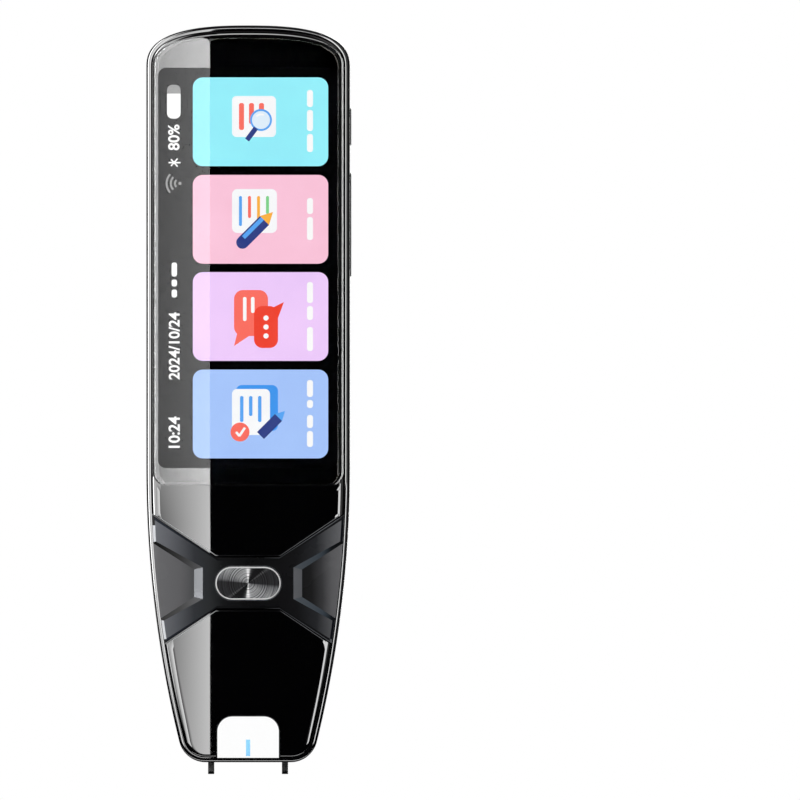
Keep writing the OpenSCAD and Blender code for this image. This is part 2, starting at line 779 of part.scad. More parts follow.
module cross_cover() {
    face = front_y - cross_proud;
    edge = 0.2;
    color("#26272a")
    difference() {
        intersection() {
            loft([ring_at(cross_points(edge), face), ring_at(cross_points(0), face + edge),
                  ring_at(cross_points(0), front_y + cross_seat)]);
            body_loft([[bezel_inset + 0.5, face], [bezel_inset + 0.1, face + 0.3],
                       [bezel_inset, face + 0.5],
                       [bezel_inset, front_y + cross_seat]]);
        }
        for (side = [-1, 1])
            loft([ring_at(pocket_points(pocket_start, pocket_half, side), face - eps),
                  ring_at(pocket_points(pocket_start + pocket_bevel, pocket_half - 0.1, side),
                          face + pocket_depth)]);
        stadium_x(button_w + 2 * run_gap, button_h + 2 * run_gap, face - 1,
                  front_y + cross_seat + 1);
    }
}

module scan_button() {
    face = front_y - cross_proud - button_proud;
    edge = 0.25;
    color("#9a9b9d")
    union() {
        stadium_x(button_w, button_h, face + edge, button_flange_y + 0.1);
        stadium_chamfer(button_w, button_h, face, edge);
        stadium_x(button_w + 2 * button_flange, button_h + 2 * button_flange, button_flange_y,
                  button_flange_y + 0.6);
        y_rod(1, 0, button_flange_y, button_stem_y, 0);
    }
}

module scan_key_switch() {
    half = 1.9;
    color("#b9b9b4")
    union() {
        box([-half, scan_switch_y + 0.3, -half], [half, lower_y, half]);
        y_rod(0.8, 0, scan_switch_y, scan_switch_y + 0.4, 0);
    }
}

module tip_window() {
    color("#e8f2f6", 0.4)
    intersection() {
        y_prism(notch_points(sill - seat_gap, tip_z + lip + seat_gap), front_y, bezel_back);
        body_loft([[lip + seat_gap, front_y - 1], [lip + seat_gap, bezel_back + 1]]);
    }
}

module aiming_line() {
    low = tip_z + lip + 0.35;
    color("#7bbee9")
    box([-line_w / 2, bezel_back, low], [line_w / 2, bezel_back + 0.15, low + line_l]);
}

// Hexagonal field of grille holes, larger inside than on the outermost ring.
module grille_holes(y0, y1) {
    rows = 2;
    for (row = [-rows : rows])
        for (k = [0 : 2 * rows - abs(row)]) {
            x = (k - (2 * rows - abs(row)) / 2) * grille_pitch;
            z = grille_z + row * grille_pitch * sin(60);
            outermost = abs(row) == rows || k == 0 || k == 2 * rows - abs(row);
            y_rod(outermost ? grille_r_out : grille_r_in, x, y0, y1, z);
        }
}

module speaker_cover() {
    color("#38393b")
    difference() {
        intersection() {
            y_prism(shield_points(seat_gap), cover_from, back_y + 1);
            back_solid(0);
            outside_back(cover_t, cover_from);
        }
        grille_holes(back_y - cover_t - 2, back_y + 1);
        translate([0, 0, eye_z])
            round_plate(eye_w + 2 * seat_gap, eye_h + 2 * seat_gap, eye_r, back_y - cover_t - 1,
                        back_y + 1);
    }
}

module speaker_mesh() {
    color("#0a0a0a")
    y_rod(grille_open - seat_gap, 0, floor_y - 0.35, floor_y, grille_z);
}

module speaker_gasket() {
    color("#1c1c1c")
    difference() {
        y_rod(grille_open + 0.7, 0, driver_back, cavity_y, grille_z);
        y_rod(grille_open - 0.8, 0, driver_back - 1, cavity_y + 1, grille_z);
    }
}

module speaker_driver() {
    color("#55585c")
    difference() {
        translate([0, 0, grille_z])
            round_plate(driver_w, driver_h, 2, driver_back - driver_t, driver_back);
        y_rod(cone_r, 0, driver_back - 0.5, driver_back + 1, grille_z);
    }
    // Surround of the cone, which stands in the frame
    color("#26282b")
    difference() {
        y_rod(cone_r - 0.2, 0, driver_back - 0.5, driver_back - 0.15, grille_z);
        y_rod(cone_r / 2, 0, driver_back - 0.3, driver_back, grille_z);
    }
}

module camera_rim() {
    color("#a9abad")
    translate([0, 0, eye_z])
        difference() {
            round_plate(eye_w, eye_h, eye_r - seat_gap, floor_y, back_y);
            round_plate(eye_w - 2 * eye_rim, eye_h - 2 * eye_rim, eye_glass_r, floor_y - 1,
                        back_y + 1);
        }
}

module camera_window() {
    color("#050505")
    translate([0, 0, eye_z])
        difference() {
            round_plate(eye_w - 2 * eye_rim - 2 * seat_gap, eye_h - 2 * eye_rim - 2 * seat_gap,
                        eye_glass_r - seat_gap, floor_y, back_y - 0.15);
            // Well in the window's inside, over the lens
            y_rod(lens_r, 0, floor_y - 1, floor_y + 0.3, 0);
        }
}

module rear_camera() {
    half = camera_half;
    shoulder_y = 3.6;
    color("#2b2c2e")
    difference() {
        union() {
            box([-half, board_back, eye_z - half], [half, shoulder_y, eye_z + half]);
            y_rod(barrel_r, 0, shoulder_y - 0.1, floor_y - 0.3, eye_z);
        }
        y_rod(lens_r + seat_gap, 0, lens_y, back_y, eye_z);
    }
}

module rear_camera_lens() {
    color("#27408a")
    intersection() {
        y_rod(lens_r, 0, lens_y, lens_y + 1, eye_z);
        translate([0, lens_y - 3.3, eye_z])
            sphere(r = 4.2);
    }
}

module scan_window() {
    half = window_half - seat_gap;
    color("#020203")
    scan_window_place()
        box([-half, -window_t, 0], [half, 0, window_len]);
}

module scan_camera() {
    color("#2b2c2e")
    difference() {
        union() {
            box([-3.6, lower_back, lower_low + 1.2],
                [3.6, scan_axis_y + 2.6, lower_low + 7.6]);
            translate([0, scan_axis_y, lower_low - 0.6])
                cylinder(r = 2.2, h = 2);
        }
        translate([0, scan_axis_y, lower_low - 1])
            cylinder(r = 1.6, h = 1.6);
    }
}

module scan_camera_lens() {
    color("#30508c")
    translate([0, scan_axis_y, lower_low + 0.1])
        cylinder(r = 1.55, h = 0.5);
}

module scan_light_board() {
    low = notch_top + notch_wall + light_t;
    color("#1d6b3a")
    box([-light_board_half, light_y - 1.3, low], [light_board_half, light_y + 1.3, low + 0.6]);
}

module scan_lights() {
    color("#f4f1d8")
    for (x = light_places)
        box([x - 0.8, light_y - 0.6, notch_top + notch_wall],
            [x + 0.8, light_y + 0.6, notch_top + notch_wall + light_t]);
}

module tip_trigger() {
    color("#1b1c1e")
    union() {
        box([-arm_x - arm_w, bar_y0, bar_top - bar_h], [arm_x + arm_w, bar_y1, bar_top]);
        for (sx = [-1, 1]) {
            x = sx > 0 ? arm_x : -arm_x - arm_w;
            // Inner leg, the arm in its slot and the peg of the spring
            box([x, bar_y0, arm_top - 3], [x + arm_w, leg_y1, bar_top]);
            box([x, arm_y0, tip_z - arm_reach + 0.5], [x + arm_w, arm_y1, arm_top - arm_w / 2]);
            y_rod(arm_w / 2, x + arm_w / 2, arm_y0, arm_y1, arm_top - arm_w / 2);
            // Rounded foot that runs over the paper
            hull()
                for (y = [arm_y0 + 0.5, arm_y1 - 0.5])
                    translate([x, y, tip_z - arm_reach + 0.5])
                        rotate([0, 90, 0])
                            cylinder(r = 0.5, h = arm_w, $fn = 24);
            translate([sx * spring_x, spring_y, bar_top - eps])
                cylinder(r = 0.45, h = 1.4);
        }
    }
}

// Round wire wound into a compression spring, as one closed skin of rings.
module coil_spring(r, wire, turns, height) {
    per_turn = 12;
    sides = 6;
    steps = turns * per_turn;
    rise = height - 2 * wire;
    function centre(k) = [r * cos(360 * k / per_turn), r * sin(360 * k / per_turn),
                          wire + rise * k / steps];
    rings = [for (k = [0 : steps]) let (t = 360 * k / per_turn, c = centre(k))
        [for (j = [0 : sides - 1]) let (a = 360 * j / sides)
            c + wire * [cos(a) * cos(t), cos(a) * sin(t), sin(a)]]];
    points = [for (ring = rings) for (p = ring) p];
    walls = [for (k = [0 : steps - 1]) for (j = [0 : sides - 1])
        let (n = (j + 1) % sides, a = k * sides, b = a + sides)
        each [[a + j, a + n, b + n], [a + j, b + n, b + j]]];
    polyhedron(points, concat(walls, [[for (j = [sides - 1 : -1 : 0]) j],
               [for (j = [0 : sides - 1]) steps * sides + j]]), convexity = 8);
}

module trigger_springs() {
    color("#c8c9c6")
    for (sx = [-1, 1])
        translate([sx * spring_x, spring_y, bar_top + seat_gap])
            coil_spring(spring_r, spring_wire / 2, spring_turns,
                        shelf_z - bar_top - 2 * seat_gap);
}

module trigger_switch() {
    color("#d8d8d2")
    union() {
        box([3.8, lower_back, lower_low - 0.7], [5.6, lower_back + 1.4, lower_low + 1.6]);
        box([4.3, lower_back + 0.3, lower_low - 1.15], [5.1, lower_back + 1, lower_low - 0.6]);
    }
}

// Side key: the cap through the wall, the flange that keeps it in and its stems.
module side_key(length, flange, stems) {
    edge = 0.12;
    stadium_side(length, key_w, flange, half_w + key_proud - edge);
    stadium_side(length - 2 * edge, key_w - 2 * edge, flange, half_w + key_proud);
    stadium_side(length + 2 * key_flange_edge, key_w + 2 * key_flange_edge, flange,
                 flange + key_flange_t);
    for (z = stems)
        translate([stem_x, key_y, z])
            rotate([0, 90, 0])
                cylinder(r = 0.6, h = flange - stem_x + eps);
}

module power_button() {
    color("#2a2b2d")
    translate([0, 0, power_z])
        side_key(power_l, flange_x, [0]);
}

module volume_rocker() {
    color("#2a2b2d")
    translate([0, 0, volume_z])
        side_key(volume_l, rocker_flange_x, [-rocker_stem, rocker_stem]);
}

module side_key_board() {
    color("#1d6b3a")
    box([key_board_x - key_board_t, deck_y1, volume_z - volume_l / 2 + 0.4],
        [key_board_x, seam_y - 0.3, power_z + power_l / 2 + 1]);
}

module side_key_switches() {
    color("#b9b9b4")
    for (z = switch_places) {
        box([key_board_x, key_y - 1.1, z - 1.6], [switch_tip_x - 0.4, key_y + 1.1, z + 1.6]);
        translate([switch_tip_x - 0.5, key_y, z])
            rotate([0, 90, 0])
                cylinder(r = 0.5, h = 0.5);
    }
}

module main_board() {
    color("#17603a")
    difference() {
        box([main_left, board_y, main_low], [main_right, board_back, main_top]);
        for (p = board_screw_places)
            y_rod(screw_r + run_gap, p[0], board_y - 1, board_back + 1, p[1]);
        for (sx = [-1, 1])
            y_rod(post_r + 0.3, sx * upper_screw_x, board_y - 1, board_back + 1, upper_screw_z);
    }
}

module processor_shield() {
    x0 = main_left + chip_in;
    x1 = main_right - chip_in - memory_w - chip_gap;
    dimple_in = 2.4;
    color("#b4b7ba")
    difference() {
        box([x0, board_back, chips_low], [x1, board_back + shield_t, chips_top]);
        // Dimples in the lid
        for (x = [x0 + dimple_in, x1 - dimple_in])
            y_rod(0.5, x, board_back + shield_t - 0.2, board_back + shield_t + 1,
                  (chips_low + chips_top) / 2);
    }
}

module memory_chip() {
    color("#1a1a1c")
    box([main_right - chip_in - memory_w, board_back, chips_low + 0.4],
        [main_right - chip_in, board_back + memory_t, chips_top - 0.4]);
}

module usb_port() {
    z0 = usb_front - usb_l;
    color("#bfc1c3")
    difference() {
        usb_sleeve(usb_w, usb_h, z0, usb_front);
        usb_sleeve(usb_w - 2 * usb_wall, usb_h - 2 * usb_wall, z0 + 2 * usb_wall,
                   usb_front + 1);
    }
}

module usb_sleeve(w, h, z0, z1) {
    for (sx = [-1, 1])
        translate([sx * (w - h) / 2, usb_y, z0])
            cylinder(r = h / 2, h = z1 - z0);
    box([(h - w) / 2, usb_y - h / 2, z0], [(w - h) / 2, usb_y + h / 2, z1]);
}

module usb_tongue() {
    color("#15171a")
    box([-3.35, usb_y - 0.35, usb_front - usb_l + 2 * usb_wall],
        [3.35, usb_y + 0.35, usb_front - 1]);
}

module microphone() {
    color("#c7b26a")
    box([mic_x - mic_w / 2, board_back, main_top - 2.4],
        [mic_x + mic_w / 2, board_back + 1, main_top - 0.2]);
}

module lower_board() {
    color("#17603a")
    difference() {
        union() {
            box([-lower_half, lower_y, tongue_top], [lower_half, lower_back, lower_top]);
            box([-tongue_half, lower_y, lower_low], [tongue_half, lower_back, tongue_top + 1]);
        }
        // Notch where the display's flex folds round the board
        box([-flex_w / 2 - 0.4, lower_y - 1, flex_slot_z], [flex_w / 2 + 0.4, 1, lower_top + 1]);
    }
}

module link_flex() {
    back = deck_y1 + link_t;
    low = lower_top - 7;
    high = main_low + 8;
    color("#8a5a1c")
    union() {
        // Strip on the deck beside the battery, and its two ends
        box([link_left, deck_y1, low], [main_left, back, high]);
        box([link_left, deck_y1, low], [-lower_half + 3, back, low + link_w]);
        box([link_left, deck_y1, high - link_w], [main_left + 5, back, high]);
        // Connectors under the two boards
        box([-lower_half + 0.5, deck_y1, low], [-lower_half + 3, lower_y, low + link_w]);
        box([main_left + 1, deck_y1, high - link_w], [main_left + 5, board_y, high]);
    }
}

module battery() {
    color("#c9cbcd")
    translate([0, 0, battery_low + battery_h / 2])
        round_plate(battery_w, battery_h, 1.2, battery_y, battery_y + battery_t);
}

module battery_pad() {
    inset = 3;
    color("#e6e0c8")
    box([-battery_w / 2 + inset, deck_y1, battery_low + inset],
        [battery_w / 2 - inset, battery_y, battery_top - inset]);
}

module battery_leads() {
    lead_r = 0.4;
    y = board_back + lead_r;
    color("#c23a34")
    union() {
        for (x = [6.2, 7.6])
            translate([x, y, battery_top])
                cylinder(r = lead_r, h = main_low - battery_top + 0.2);
        // Plug on the board
        box([5.6, board_back, main_low + 0.1], [8.2, y + lead_r, chips_low + 0.3]);
    }
}

module antenna() {
    color("#b88a3a")
    box([-9, cavity_y - 0.2, main_low - 9], [9, cavity_y, main_low - 1]);
}

// Pan-head screw with its tip towards -Y: the head's underside is at head_y.
module screw(x, z, head_y, length, r_head) {
    y_rod(screw_r, x, head_y - length, head_y + 0.1, z);
    difference() {
        y_rod(r_head, x, head_y, head_y + head_t, z);
        for (turn = [0, 90])
            translate([x, head_y + head_t, z])
                rotate([0, turn, 0])
                    cube([r_head, 0.6, 0.26], center = true);
    }
}

module housing_screws() {
    color("#3c3d40")
    for (sx = [-1, 1]) {
        screw(sx * upper_screw_x, upper_screw_z, upper_head_y, 4.6, head_r);
        mirror([0, 1, 0])
            screw(sx * lower_screw_x, lower_screw_z, -deck_y0, 5, head_r);
    }
}

module board_screws() {
    color("#8d9093")
    for (p = board_screw_places)
        screw(p[0], p[1], board_back, board_screw_l, board_head_r);
}

front_housing();
back_housing();
front_bezel();
cover_glass();
glass_tape();
display_panel();
backlight_tray();
display_flex();
cross_cover();
scan_button();
scan_key_switch();
tip_window();
aiming_line();
speaker_cover();
speaker_mesh();
speaker_gasket();
speaker_driver();
camera_rim();
camera_window();
rear_camera();
rear_camera_lens();
scan_window();
scan_camera();
scan_camera_lens();
scan_light_board();
scan_lights();
tip_trigger();
trigger_springs();
trigger_switch();
power_button();
volume_rocker();
side_key_board();
side_key_switches();
main_board();
processor_shield();
memory_chip();
usb_port();
usb_tongue();
microphone();
lower_board();
link_flex();
battery();
battery_pad();
battery_leads();
antenna();
housing_screws();
board_screws();
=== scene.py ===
# %% [markdown]
# # A handheld translator
# This lesson dresses a flat scanning pen: a tall display in a glossy black front, a satin cross
# round a metal scan button, a clear tip between two trigger arms, and a dark grey back with four
# recessed grip pads. The engineering model is the frame. Every piece made here sits exactly where
# the frame has it, rides on the body that moves it, and only adds finer edges and finishes; the
# finishes of the scan button, the cross and the lens carry painted highlight and shade.

# %% Load the frame
import json
import math

import bmesh
import bpy
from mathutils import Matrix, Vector


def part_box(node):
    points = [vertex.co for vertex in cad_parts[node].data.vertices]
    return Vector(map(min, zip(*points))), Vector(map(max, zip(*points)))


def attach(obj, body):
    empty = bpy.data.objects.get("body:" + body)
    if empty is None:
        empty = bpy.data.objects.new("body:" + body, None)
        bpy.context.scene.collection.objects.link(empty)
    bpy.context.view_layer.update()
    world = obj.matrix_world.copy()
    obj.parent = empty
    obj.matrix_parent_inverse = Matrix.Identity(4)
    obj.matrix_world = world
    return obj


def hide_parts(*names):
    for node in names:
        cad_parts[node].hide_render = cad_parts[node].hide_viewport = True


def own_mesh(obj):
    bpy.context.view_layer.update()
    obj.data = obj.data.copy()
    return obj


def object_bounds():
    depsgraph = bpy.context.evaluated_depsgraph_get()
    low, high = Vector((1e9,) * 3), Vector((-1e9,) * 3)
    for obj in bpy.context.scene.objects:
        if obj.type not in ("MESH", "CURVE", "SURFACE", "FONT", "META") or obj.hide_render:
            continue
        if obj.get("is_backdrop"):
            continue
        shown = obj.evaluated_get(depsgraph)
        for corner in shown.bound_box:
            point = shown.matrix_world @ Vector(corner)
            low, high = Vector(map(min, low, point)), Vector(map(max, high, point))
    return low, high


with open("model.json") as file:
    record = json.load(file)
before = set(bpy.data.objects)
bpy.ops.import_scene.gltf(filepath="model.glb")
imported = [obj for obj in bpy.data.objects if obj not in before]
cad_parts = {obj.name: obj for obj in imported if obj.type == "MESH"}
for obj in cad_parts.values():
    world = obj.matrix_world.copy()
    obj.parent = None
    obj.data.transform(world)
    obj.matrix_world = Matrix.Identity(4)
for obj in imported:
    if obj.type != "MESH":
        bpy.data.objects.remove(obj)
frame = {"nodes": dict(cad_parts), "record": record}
NODES = frame["nodes"]
cad_low, cad_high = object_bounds()
MM = 0.001


def new_object(name, data):
    """An object at the origin, put in the scene."""
    thing = bpy.data.objects.new(name, data)
    bpy.context.scene.collection.objects.link(thing)
    return thing


# %% [markdown]
# ## The camera
# The pen is drawn flat on, without perspective, so an orthographic camera looks straight at the
# display. One pixel of the 800-pixel picture is 0.2033 mm.

# %% Camera
PICTURE, PIXEL_MM = 800, 0.2033
PIXEL = PIXEL_MM * MM
MIDDLE_X, ORIGIN_Y = 248.1, 583.2  # the pixel at which the frame's origin shows
camera_data = bpy.data.cameras.new("front_camera")
camera_data.type = "ORTHO"
camera_data.ortho_scale = PICTURE * PIXEL
camera = new_object("front_camera", camera_data)
camera.location = ((PICTURE / 2 - MIDDLE_X) * PIXEL, -0.6, (ORIGIN_Y - PICTURE / 2) * PIXEL)
camera.rotation_euler = (math.pi / 2, 0, 0)
bpy.context.scene.camera = camera
bpy.context.scene.view_settings.view_transform = "Standard"
print("the picture spans", round(PICTURE * PIXEL_MM, 1), "mm")

# %% [markdown]
# ## Outlines
# A moulded housing is one outline carried through the depth at changing insets. The outline here
# is a squarish oval at the top (a superellipse), straight sides, long arcs that taper to the tip
# and two round corners. Writing it as a function of the inset lets every shell, bezel and seam
# share it, with many more steps than the engineering model needs.

# %% Sizes and outlines, in millimetres
HALF_W, TOP_Z, TIP_Z = 20.7, 113.4, -36.4
SHOULDER_Z, SHOULDER_H, SHOULDER_N, SHOULDER_STEPS = 104.8, 8.6, 2.62, 104
TAPER_START, TAPER_R = 23.4, 234.0
CORNER_R, CORNER_Z, CORNER_SKIP = 5.5, -30.9, 6
CORNER_X = HALF_W - TAPER_R + math.sqrt((TAPER_R - CORNER_R) ** 2 - (TAPER_START - CORNER_Z) ** 2)
TAPER_ANGLE = math.degrees(math.asin((TAPER_START - CORNER_Z) / (TAPER_R - CORNER_R)))
NOTCH_HALF, NOTCH_R, NOTCH_TOP = 6.25, 3.05, -27.1
FRONT_Y, BACK_Y, SEAM_Y = -6.35, 6.35, 1.4
WALL, LIP, BEZEL_BACK = 1.5, 0.9, -4.85
DECK_FRONT, DECK_BACK = -2.7, -1.9
GLASS_HALF, GLASS_LOW, GLASS_CORNER, GLASS_SHOULDER = 19.4, 20.0, 2.7, SHOULDER_H - 1.9
GLASS_FRONT, GLASS_BACK, TAPE_BACK = -6.5, -5.4, -5.25
GAP = 0.12  # play round a piece in its opening


def shoulder(reach, rise, z):
    """Half an oval that is squarer than an ellipse, from its right end over the top."""
    points = []
    for k in range(SHOULDER_STEPS + 1):
        t = math.pi * k / SHOULDER_STEPS
        across, up = math.cos(t), max(math.sin(t), 0.0)
        x = reach * math.copysign(abs(across) ** (2 / SHOULDER_N), across)
        points.append((x, z + rise * up ** (2 / SHOULDER_N)))
    points[0], points[-1] = (reach, z), (-reach, z)
    return points


def arc(x, z, radius, start, end, steps):
    """Points from one angle to another, in degrees."""
    angles = [math.radians(start + (end - start) * k / steps) for k in range(steps + 1)]
    return [(x + radius * math.cos(t), z + radius * math.sin(t)) for t in angles]


def circle(x, z, radius, sides):
    return arc(x, z, radius, 0, 360 - 360 / sides, sides - 1)


def quarter(steps):
    """Angles from 0 to a quarter turn, in radians."""
    return [math.pi / 2 * k / steps for k in range(steps + 1)]


def rounding(inset, width, y, depth, steps):
    """The (inset, y) levels of a rounded edge, from the flat face out to the side."""
    return [(inset + width * (1 - math.sin(t)), y + depth * (1 - math.cos(t))) for t in quarter(steps)]


def along(a, b, share):
    return (a[0] + (b[0] - a[0]) * share, a[1] + (b[1] - a[1]) * share)


def between(a, b, steps):
    """Points between a and b, without the ends."""
    return [along(a, b, k / steps) for k in range(1, steps)]


def outline(inset):
    """The body's outline, moved in by an inset, anticlockwise seen from the front."""
    r = max(CORNER_R - inset, 0.3)
    top = shoulder(HALF_W - inset, SHOULDER_H - inset, SHOULDER_Z)
    left = arc(TAPER_R - HALF_W, TAPER_START, TAPER_R - inset, 180, 180 + TAPER_ANGLE, 24)
    low_left = arc(-CORNER_X, TIP_Z + inset + r, r, 180 + CORNER_SKIP + TAPER_ANGLE, 270, 14)
    low_right = arc(CORNER_X, TIP_Z + inset + r, r, 270, 360 - CORNER_SKIP - TAPER_ANGLE, 14)
    right = arc(HALF_W - TAPER_R, TAPER_START, TAPER_R - inset, -TAPER_ANGLE, 0, 24)
    return (top + between(top[-1], left[0], 16) + left + low_left
            + between(low_left[-1], low_right[0], 8) + low_right + right
            + between(right[-1], top[0], 16))


def glass_outline(inset):
    """The cover glass: the same shoulder, straight sides and a straight lower edge."""
    top = shoulder(GLASS_HALF - inset, GLASS_SHOULDER - inset, SHOULDER_Z)
    x, z, r = GLASS_HALF - GLASS_CORNER, GLASS_LOW + GLASS_CORNER, GLASS_CORNER - inset
    return top + arc(-x, z, r, 180, 270, 16) + arc(x, z, r, 270, 360, 16)


def notch(margin, low):
    """The notch at the tip, open at the bottom."""
    w, r, top = NOTCH_HALF + margin, NOTCH_R + margin, NOTCH_TOP + margin
    return [(w, low)] + arc(w - r, top - r, r, 0, 90, 16) + arc(r - w, top - r, r, 90, 180, 16) + [(-w, low)]


def stadium(width, height, steps=32):
    """A bar with two round ends."""
    half, radius = (width - height) / 2, height / 2
    return arc(half, 0, radius, -90, 90, steps) + arc(-half, 0, radius, 90, 270, steps)


def round_box(width, height, radius, steps=16, x=0.0, z=0.0):
    a, b = width / 2 - radius, height / 2 - radius
    points = []
    for k, (along_x, along_z) in enumerate(((a, b), (-a, b), (-a, -b), (a, -b))):
        points += arc(x + along_x, z + along_z, radius, 90 * k, 90 * k + 90, steps)
    return points


print("outline has", len(outline(0)), "points; taper", round(TAPER_ANGLE, 2), "degrees")

# %% [markdown]
# ## Solids from rings
# Most pieces are lofts: closed rings of equal count, skinned from one to the next and closed with
# a flat face at each end. A few are carved with Boolean modifiers, whose result is turned into a
# plain mesh at once. Smooth shading with sharp edges marked by angle, and a Weighted Normal
# modifier, keeps the flat faces flat and lets only the roundings shade softly.

# %% Mesh helpers
def solid(rings, name="tool", loop=False):
    """Skin of closed rings of (x, y, z) points in millimetres, capped at both ends or made a loop."""
    mesh = bpy.data.meshes.new(name)
    count = len(rings[0])
    points = [(x * MM, y * MM, z * MM) for ring in rings for x, y, z in ring]
    faces = []
    for k in range(len(rings) if loop else len(rings) - 1):
        this, other = k * count, (k + 1) % len(rings) * count
        for j in range(count):
            n = (j + 1) % count
            faces.append((this + j, this + n, other + n, other + j))
    if not loop:
        faces.append(tuple(range(count))[::-1])
        faces.append(tuple(range((len(rings) - 1) * count, len(rings) * count)))
    mesh.from_pydata(points, [], faces)
    bm = bmesh.new()
    bm.from_mesh(mesh)
    bmesh.ops.remove_doubles(bm, verts=bm.verts, dist=1e-8)
    bmesh.ops.recalc_face_normals(bm, faces=bm.faces)
    bm.to_mesh(mesh)
    bm.free()
    return new_object(name, mesh)


def at_y(points, y):
    return [(x, y, z) for x, z in points]


def loft(plan, levels, name="tool", loop=False):
    """A plan, which is a function of its inset, carried through (inset, y) levels."""
    return solid([at_y(plan(inset), y) for inset, y in levels], name, loop)


def prism(points, y0, y1, name="tool"):
    return solid([at_y(points, y0), at_y(points, y1)], name)


def prism_x(ring, x0, x1):
    """A prism along X from (y, z) points."""
    return solid([[(x, y, z) for y, z in ring] for x in (x0, x1)])


def prism_z(ring, z0, z1):
    """A prism along Z from (x, y) points."""
    return solid([[(x, y, z) for x, y in ring] for z in (z0, z1)])


def box_points(x0, z0, x1, z1):
    return [(x0, z0), (x1, z0), (x1, z1), (x0, z1)]


def block(low, high, name="tool"):
    return prism(box_points(low[0], low[2], high[0], high[2]), low[1], high[1], name)


def remove(thing):
    mesh = thing.data
    bpy.data.objects.remove(thing)
    if mesh and mesh.users == 0:
        bpy.data.meshes.remove(mesh)


def settle(piece):
    """Turns what the modifiers make into the piece's plain mesh."""
    graph = bpy.context.evaluated_depsgraph_get()
    made = bpy.data.meshes.new_from_object(piece.evaluated_get(graph), depsgraph=graph)
    old = piece.data
    piece.modifiers.clear()
    piece.data = made
    made.name = piece.name
    if old.users == 0:
        bpy.data.meshes.remove(old)
    return piece


def carve(piece, *tools, how="DIFFERENCE"):
    """Cuts the tools away from a piece, or joins or intersects them; each tool is used up."""
    for tool in tools:
        modifier = piece.modifiers.new("carve", "BOOLEAN")
        modifier.operation, modifier.solver, modifier.object = how, "MANIFOLD", tool
        settle(piece)
        remove(tool)
    return piece


def smooth(piece, angle=30, bevel=0.0, bevel_angle=40):
    """Optional small bevel, then soft shading with flat faces kept flat."""
    if bevel:
        modifier = piece.modifiers.new("edges", "BEVEL")
        modifier.width, modifier.segments = bevel * MM, 2
        modifier.limit_method, modifier.angle_limit = "ANGLE", math.radians(bevel_angle)
        settle(piece)
    piece.data.shade_smooth()
    piece.data.set_sharp_from_angle(angle=math.radians(angle))
    modifier = piece.modifiers.new("normals", "WEIGHTED_NORMAL")
    modifier.keep_sharp, modifier.weight = True, 100
    settle(piece)
    print(piece.name, "has", len(piece.data.polygons), "faces")
    return piece


# %% [markdown]
# ## The rounded back as a function
# Bevels that run over the rounded flank must follow it. So the back's surface is written as a
# height: for any point of the plan, how far back the surface lies at a given depth under the
# skin. The grip pads, the speaker cover and its seat are rings laid on that height.

# %% Height of the back's surface
EDGE_REACH, EDGE_RISE = 5.0, BACK_Y - SEAM_Y
DENSE_STEP = 0.7


def inset_at(x, z):
    """How far inside the body's outline a point of the plan lies."""
    x = abs(x)
    if z >= SHOULDER_Z:
        low, high = -8.0, SHOULDER_H - 0.05
        for _ in range(40):
            s = (low + high) / 2
            across, up = x / (HALF_W - s), (z - SHOULDER_Z) / (SHOULDER_H - s)
            inside = across ** SHOULDER_N + up ** SHOULDER_N < 1
            low, high = (s, high) if inside else (low, s)
        return low
    if z >= TAPER_START:
        return HALF_W - x
    side = TAPER_R - math.hypot(x - (HALF_W - TAPER_R), z - TAPER_START)
    if x > CORNER_X and z < CORNER_Z - math.tan(math.radians(TAPER_ANGLE)) * (x - CORNER_X):
        return CORNER_R - math.hypot(x - CORNER_X, z - CORNER_Z)
    return min(side, z - TIP_Z)


def back_y(x, z, depth=0.0):
    share = min(max((inset_at(x, z) - depth) / (EDGE_REACH - depth), 0.0), 1.0)
    return SEAM_Y + (EDGE_RISE - depth) * math.sqrt(max(1 - (1 - share) ** 2, 0.0))


def back_curve(depth):
    """The (inset, y) levels of the rounded back, a depth under its skin."""
    return [(depth + (EDGE_REACH - depth) * (1 - math.cos(t)), SEAM_Y + (EDGE_RISE - depth) * math.sin(t))
            for t in quarter(18)]


def back_solid(depth):
    return loft(outline, [(depth, SEAM_Y - 1)] + back_curve(depth))


def dense(levels):
    """Splits the edges of several polygons of equal count, each edge the same way in all."""
    base, out = levels[0], [[] for _ in levels]
    for j in range(len(base)):
        n = (j + 1) % len(base)
        parts = max(1, math.ceil(math.dist(base[j], base[n]) / DENSE_STEP))
        for level, ring in zip(levels, out):
            ring += [along(level[j], level[n], k / parts) for k in range(parts)]
    return out


def surface_prism(plan, levels, low, high, name="tool"):
    """A prism whose rings lie on the back's surface at (inset, depth) levels, from deep to high."""
    plans = dense([plan(inset) for inset, _ in levels])
    rings = [at_y(plans[0], low)]
    for k, ((_, depth), points) in enumerate(zip(levels, plans)):
        rings.append([(x, max(low + 0.01 * (k + 1), back_y(x, z, depth)), z) for x, z in points])
    return solid(rings + [at_y(plans[-1], high)], name)


def unit(a, b):
    d = math.dist(a, b)
    return ((b[0] - a[0]) / d, (b[1] - a[1]) / d)


def corner_arc(a, b, c, r, steps):
    """The corner at b, between a and c, rounded with radius r."""
    u, v = unit(b, a), unit(b, c)
    half = math.acos(max(-1, min(1, u[0] * v[0] + u[1] * v[1]))) / 2
    way = unit((0, 0), (u[0] + v[0], u[1] + v[1]))
    x, z = (b[k] + way[k] * r / math.sin(half) for k in (0, 1))
    start, end = (math.degrees(math.atan2(b[1] + w[1] * r / math.tan(half) - z,
                                          b[0] + w[0] * r / math.tan(half) - x)) for w in (u, v))
    sweep = (end - start + 540) % 360 - 180
    return arc(x, z, r, start, start + sweep, steps)


SHIELD_HALF, SHIELD_SIDE, SHIELD_DROP = 11.9, 38.5, 10.22


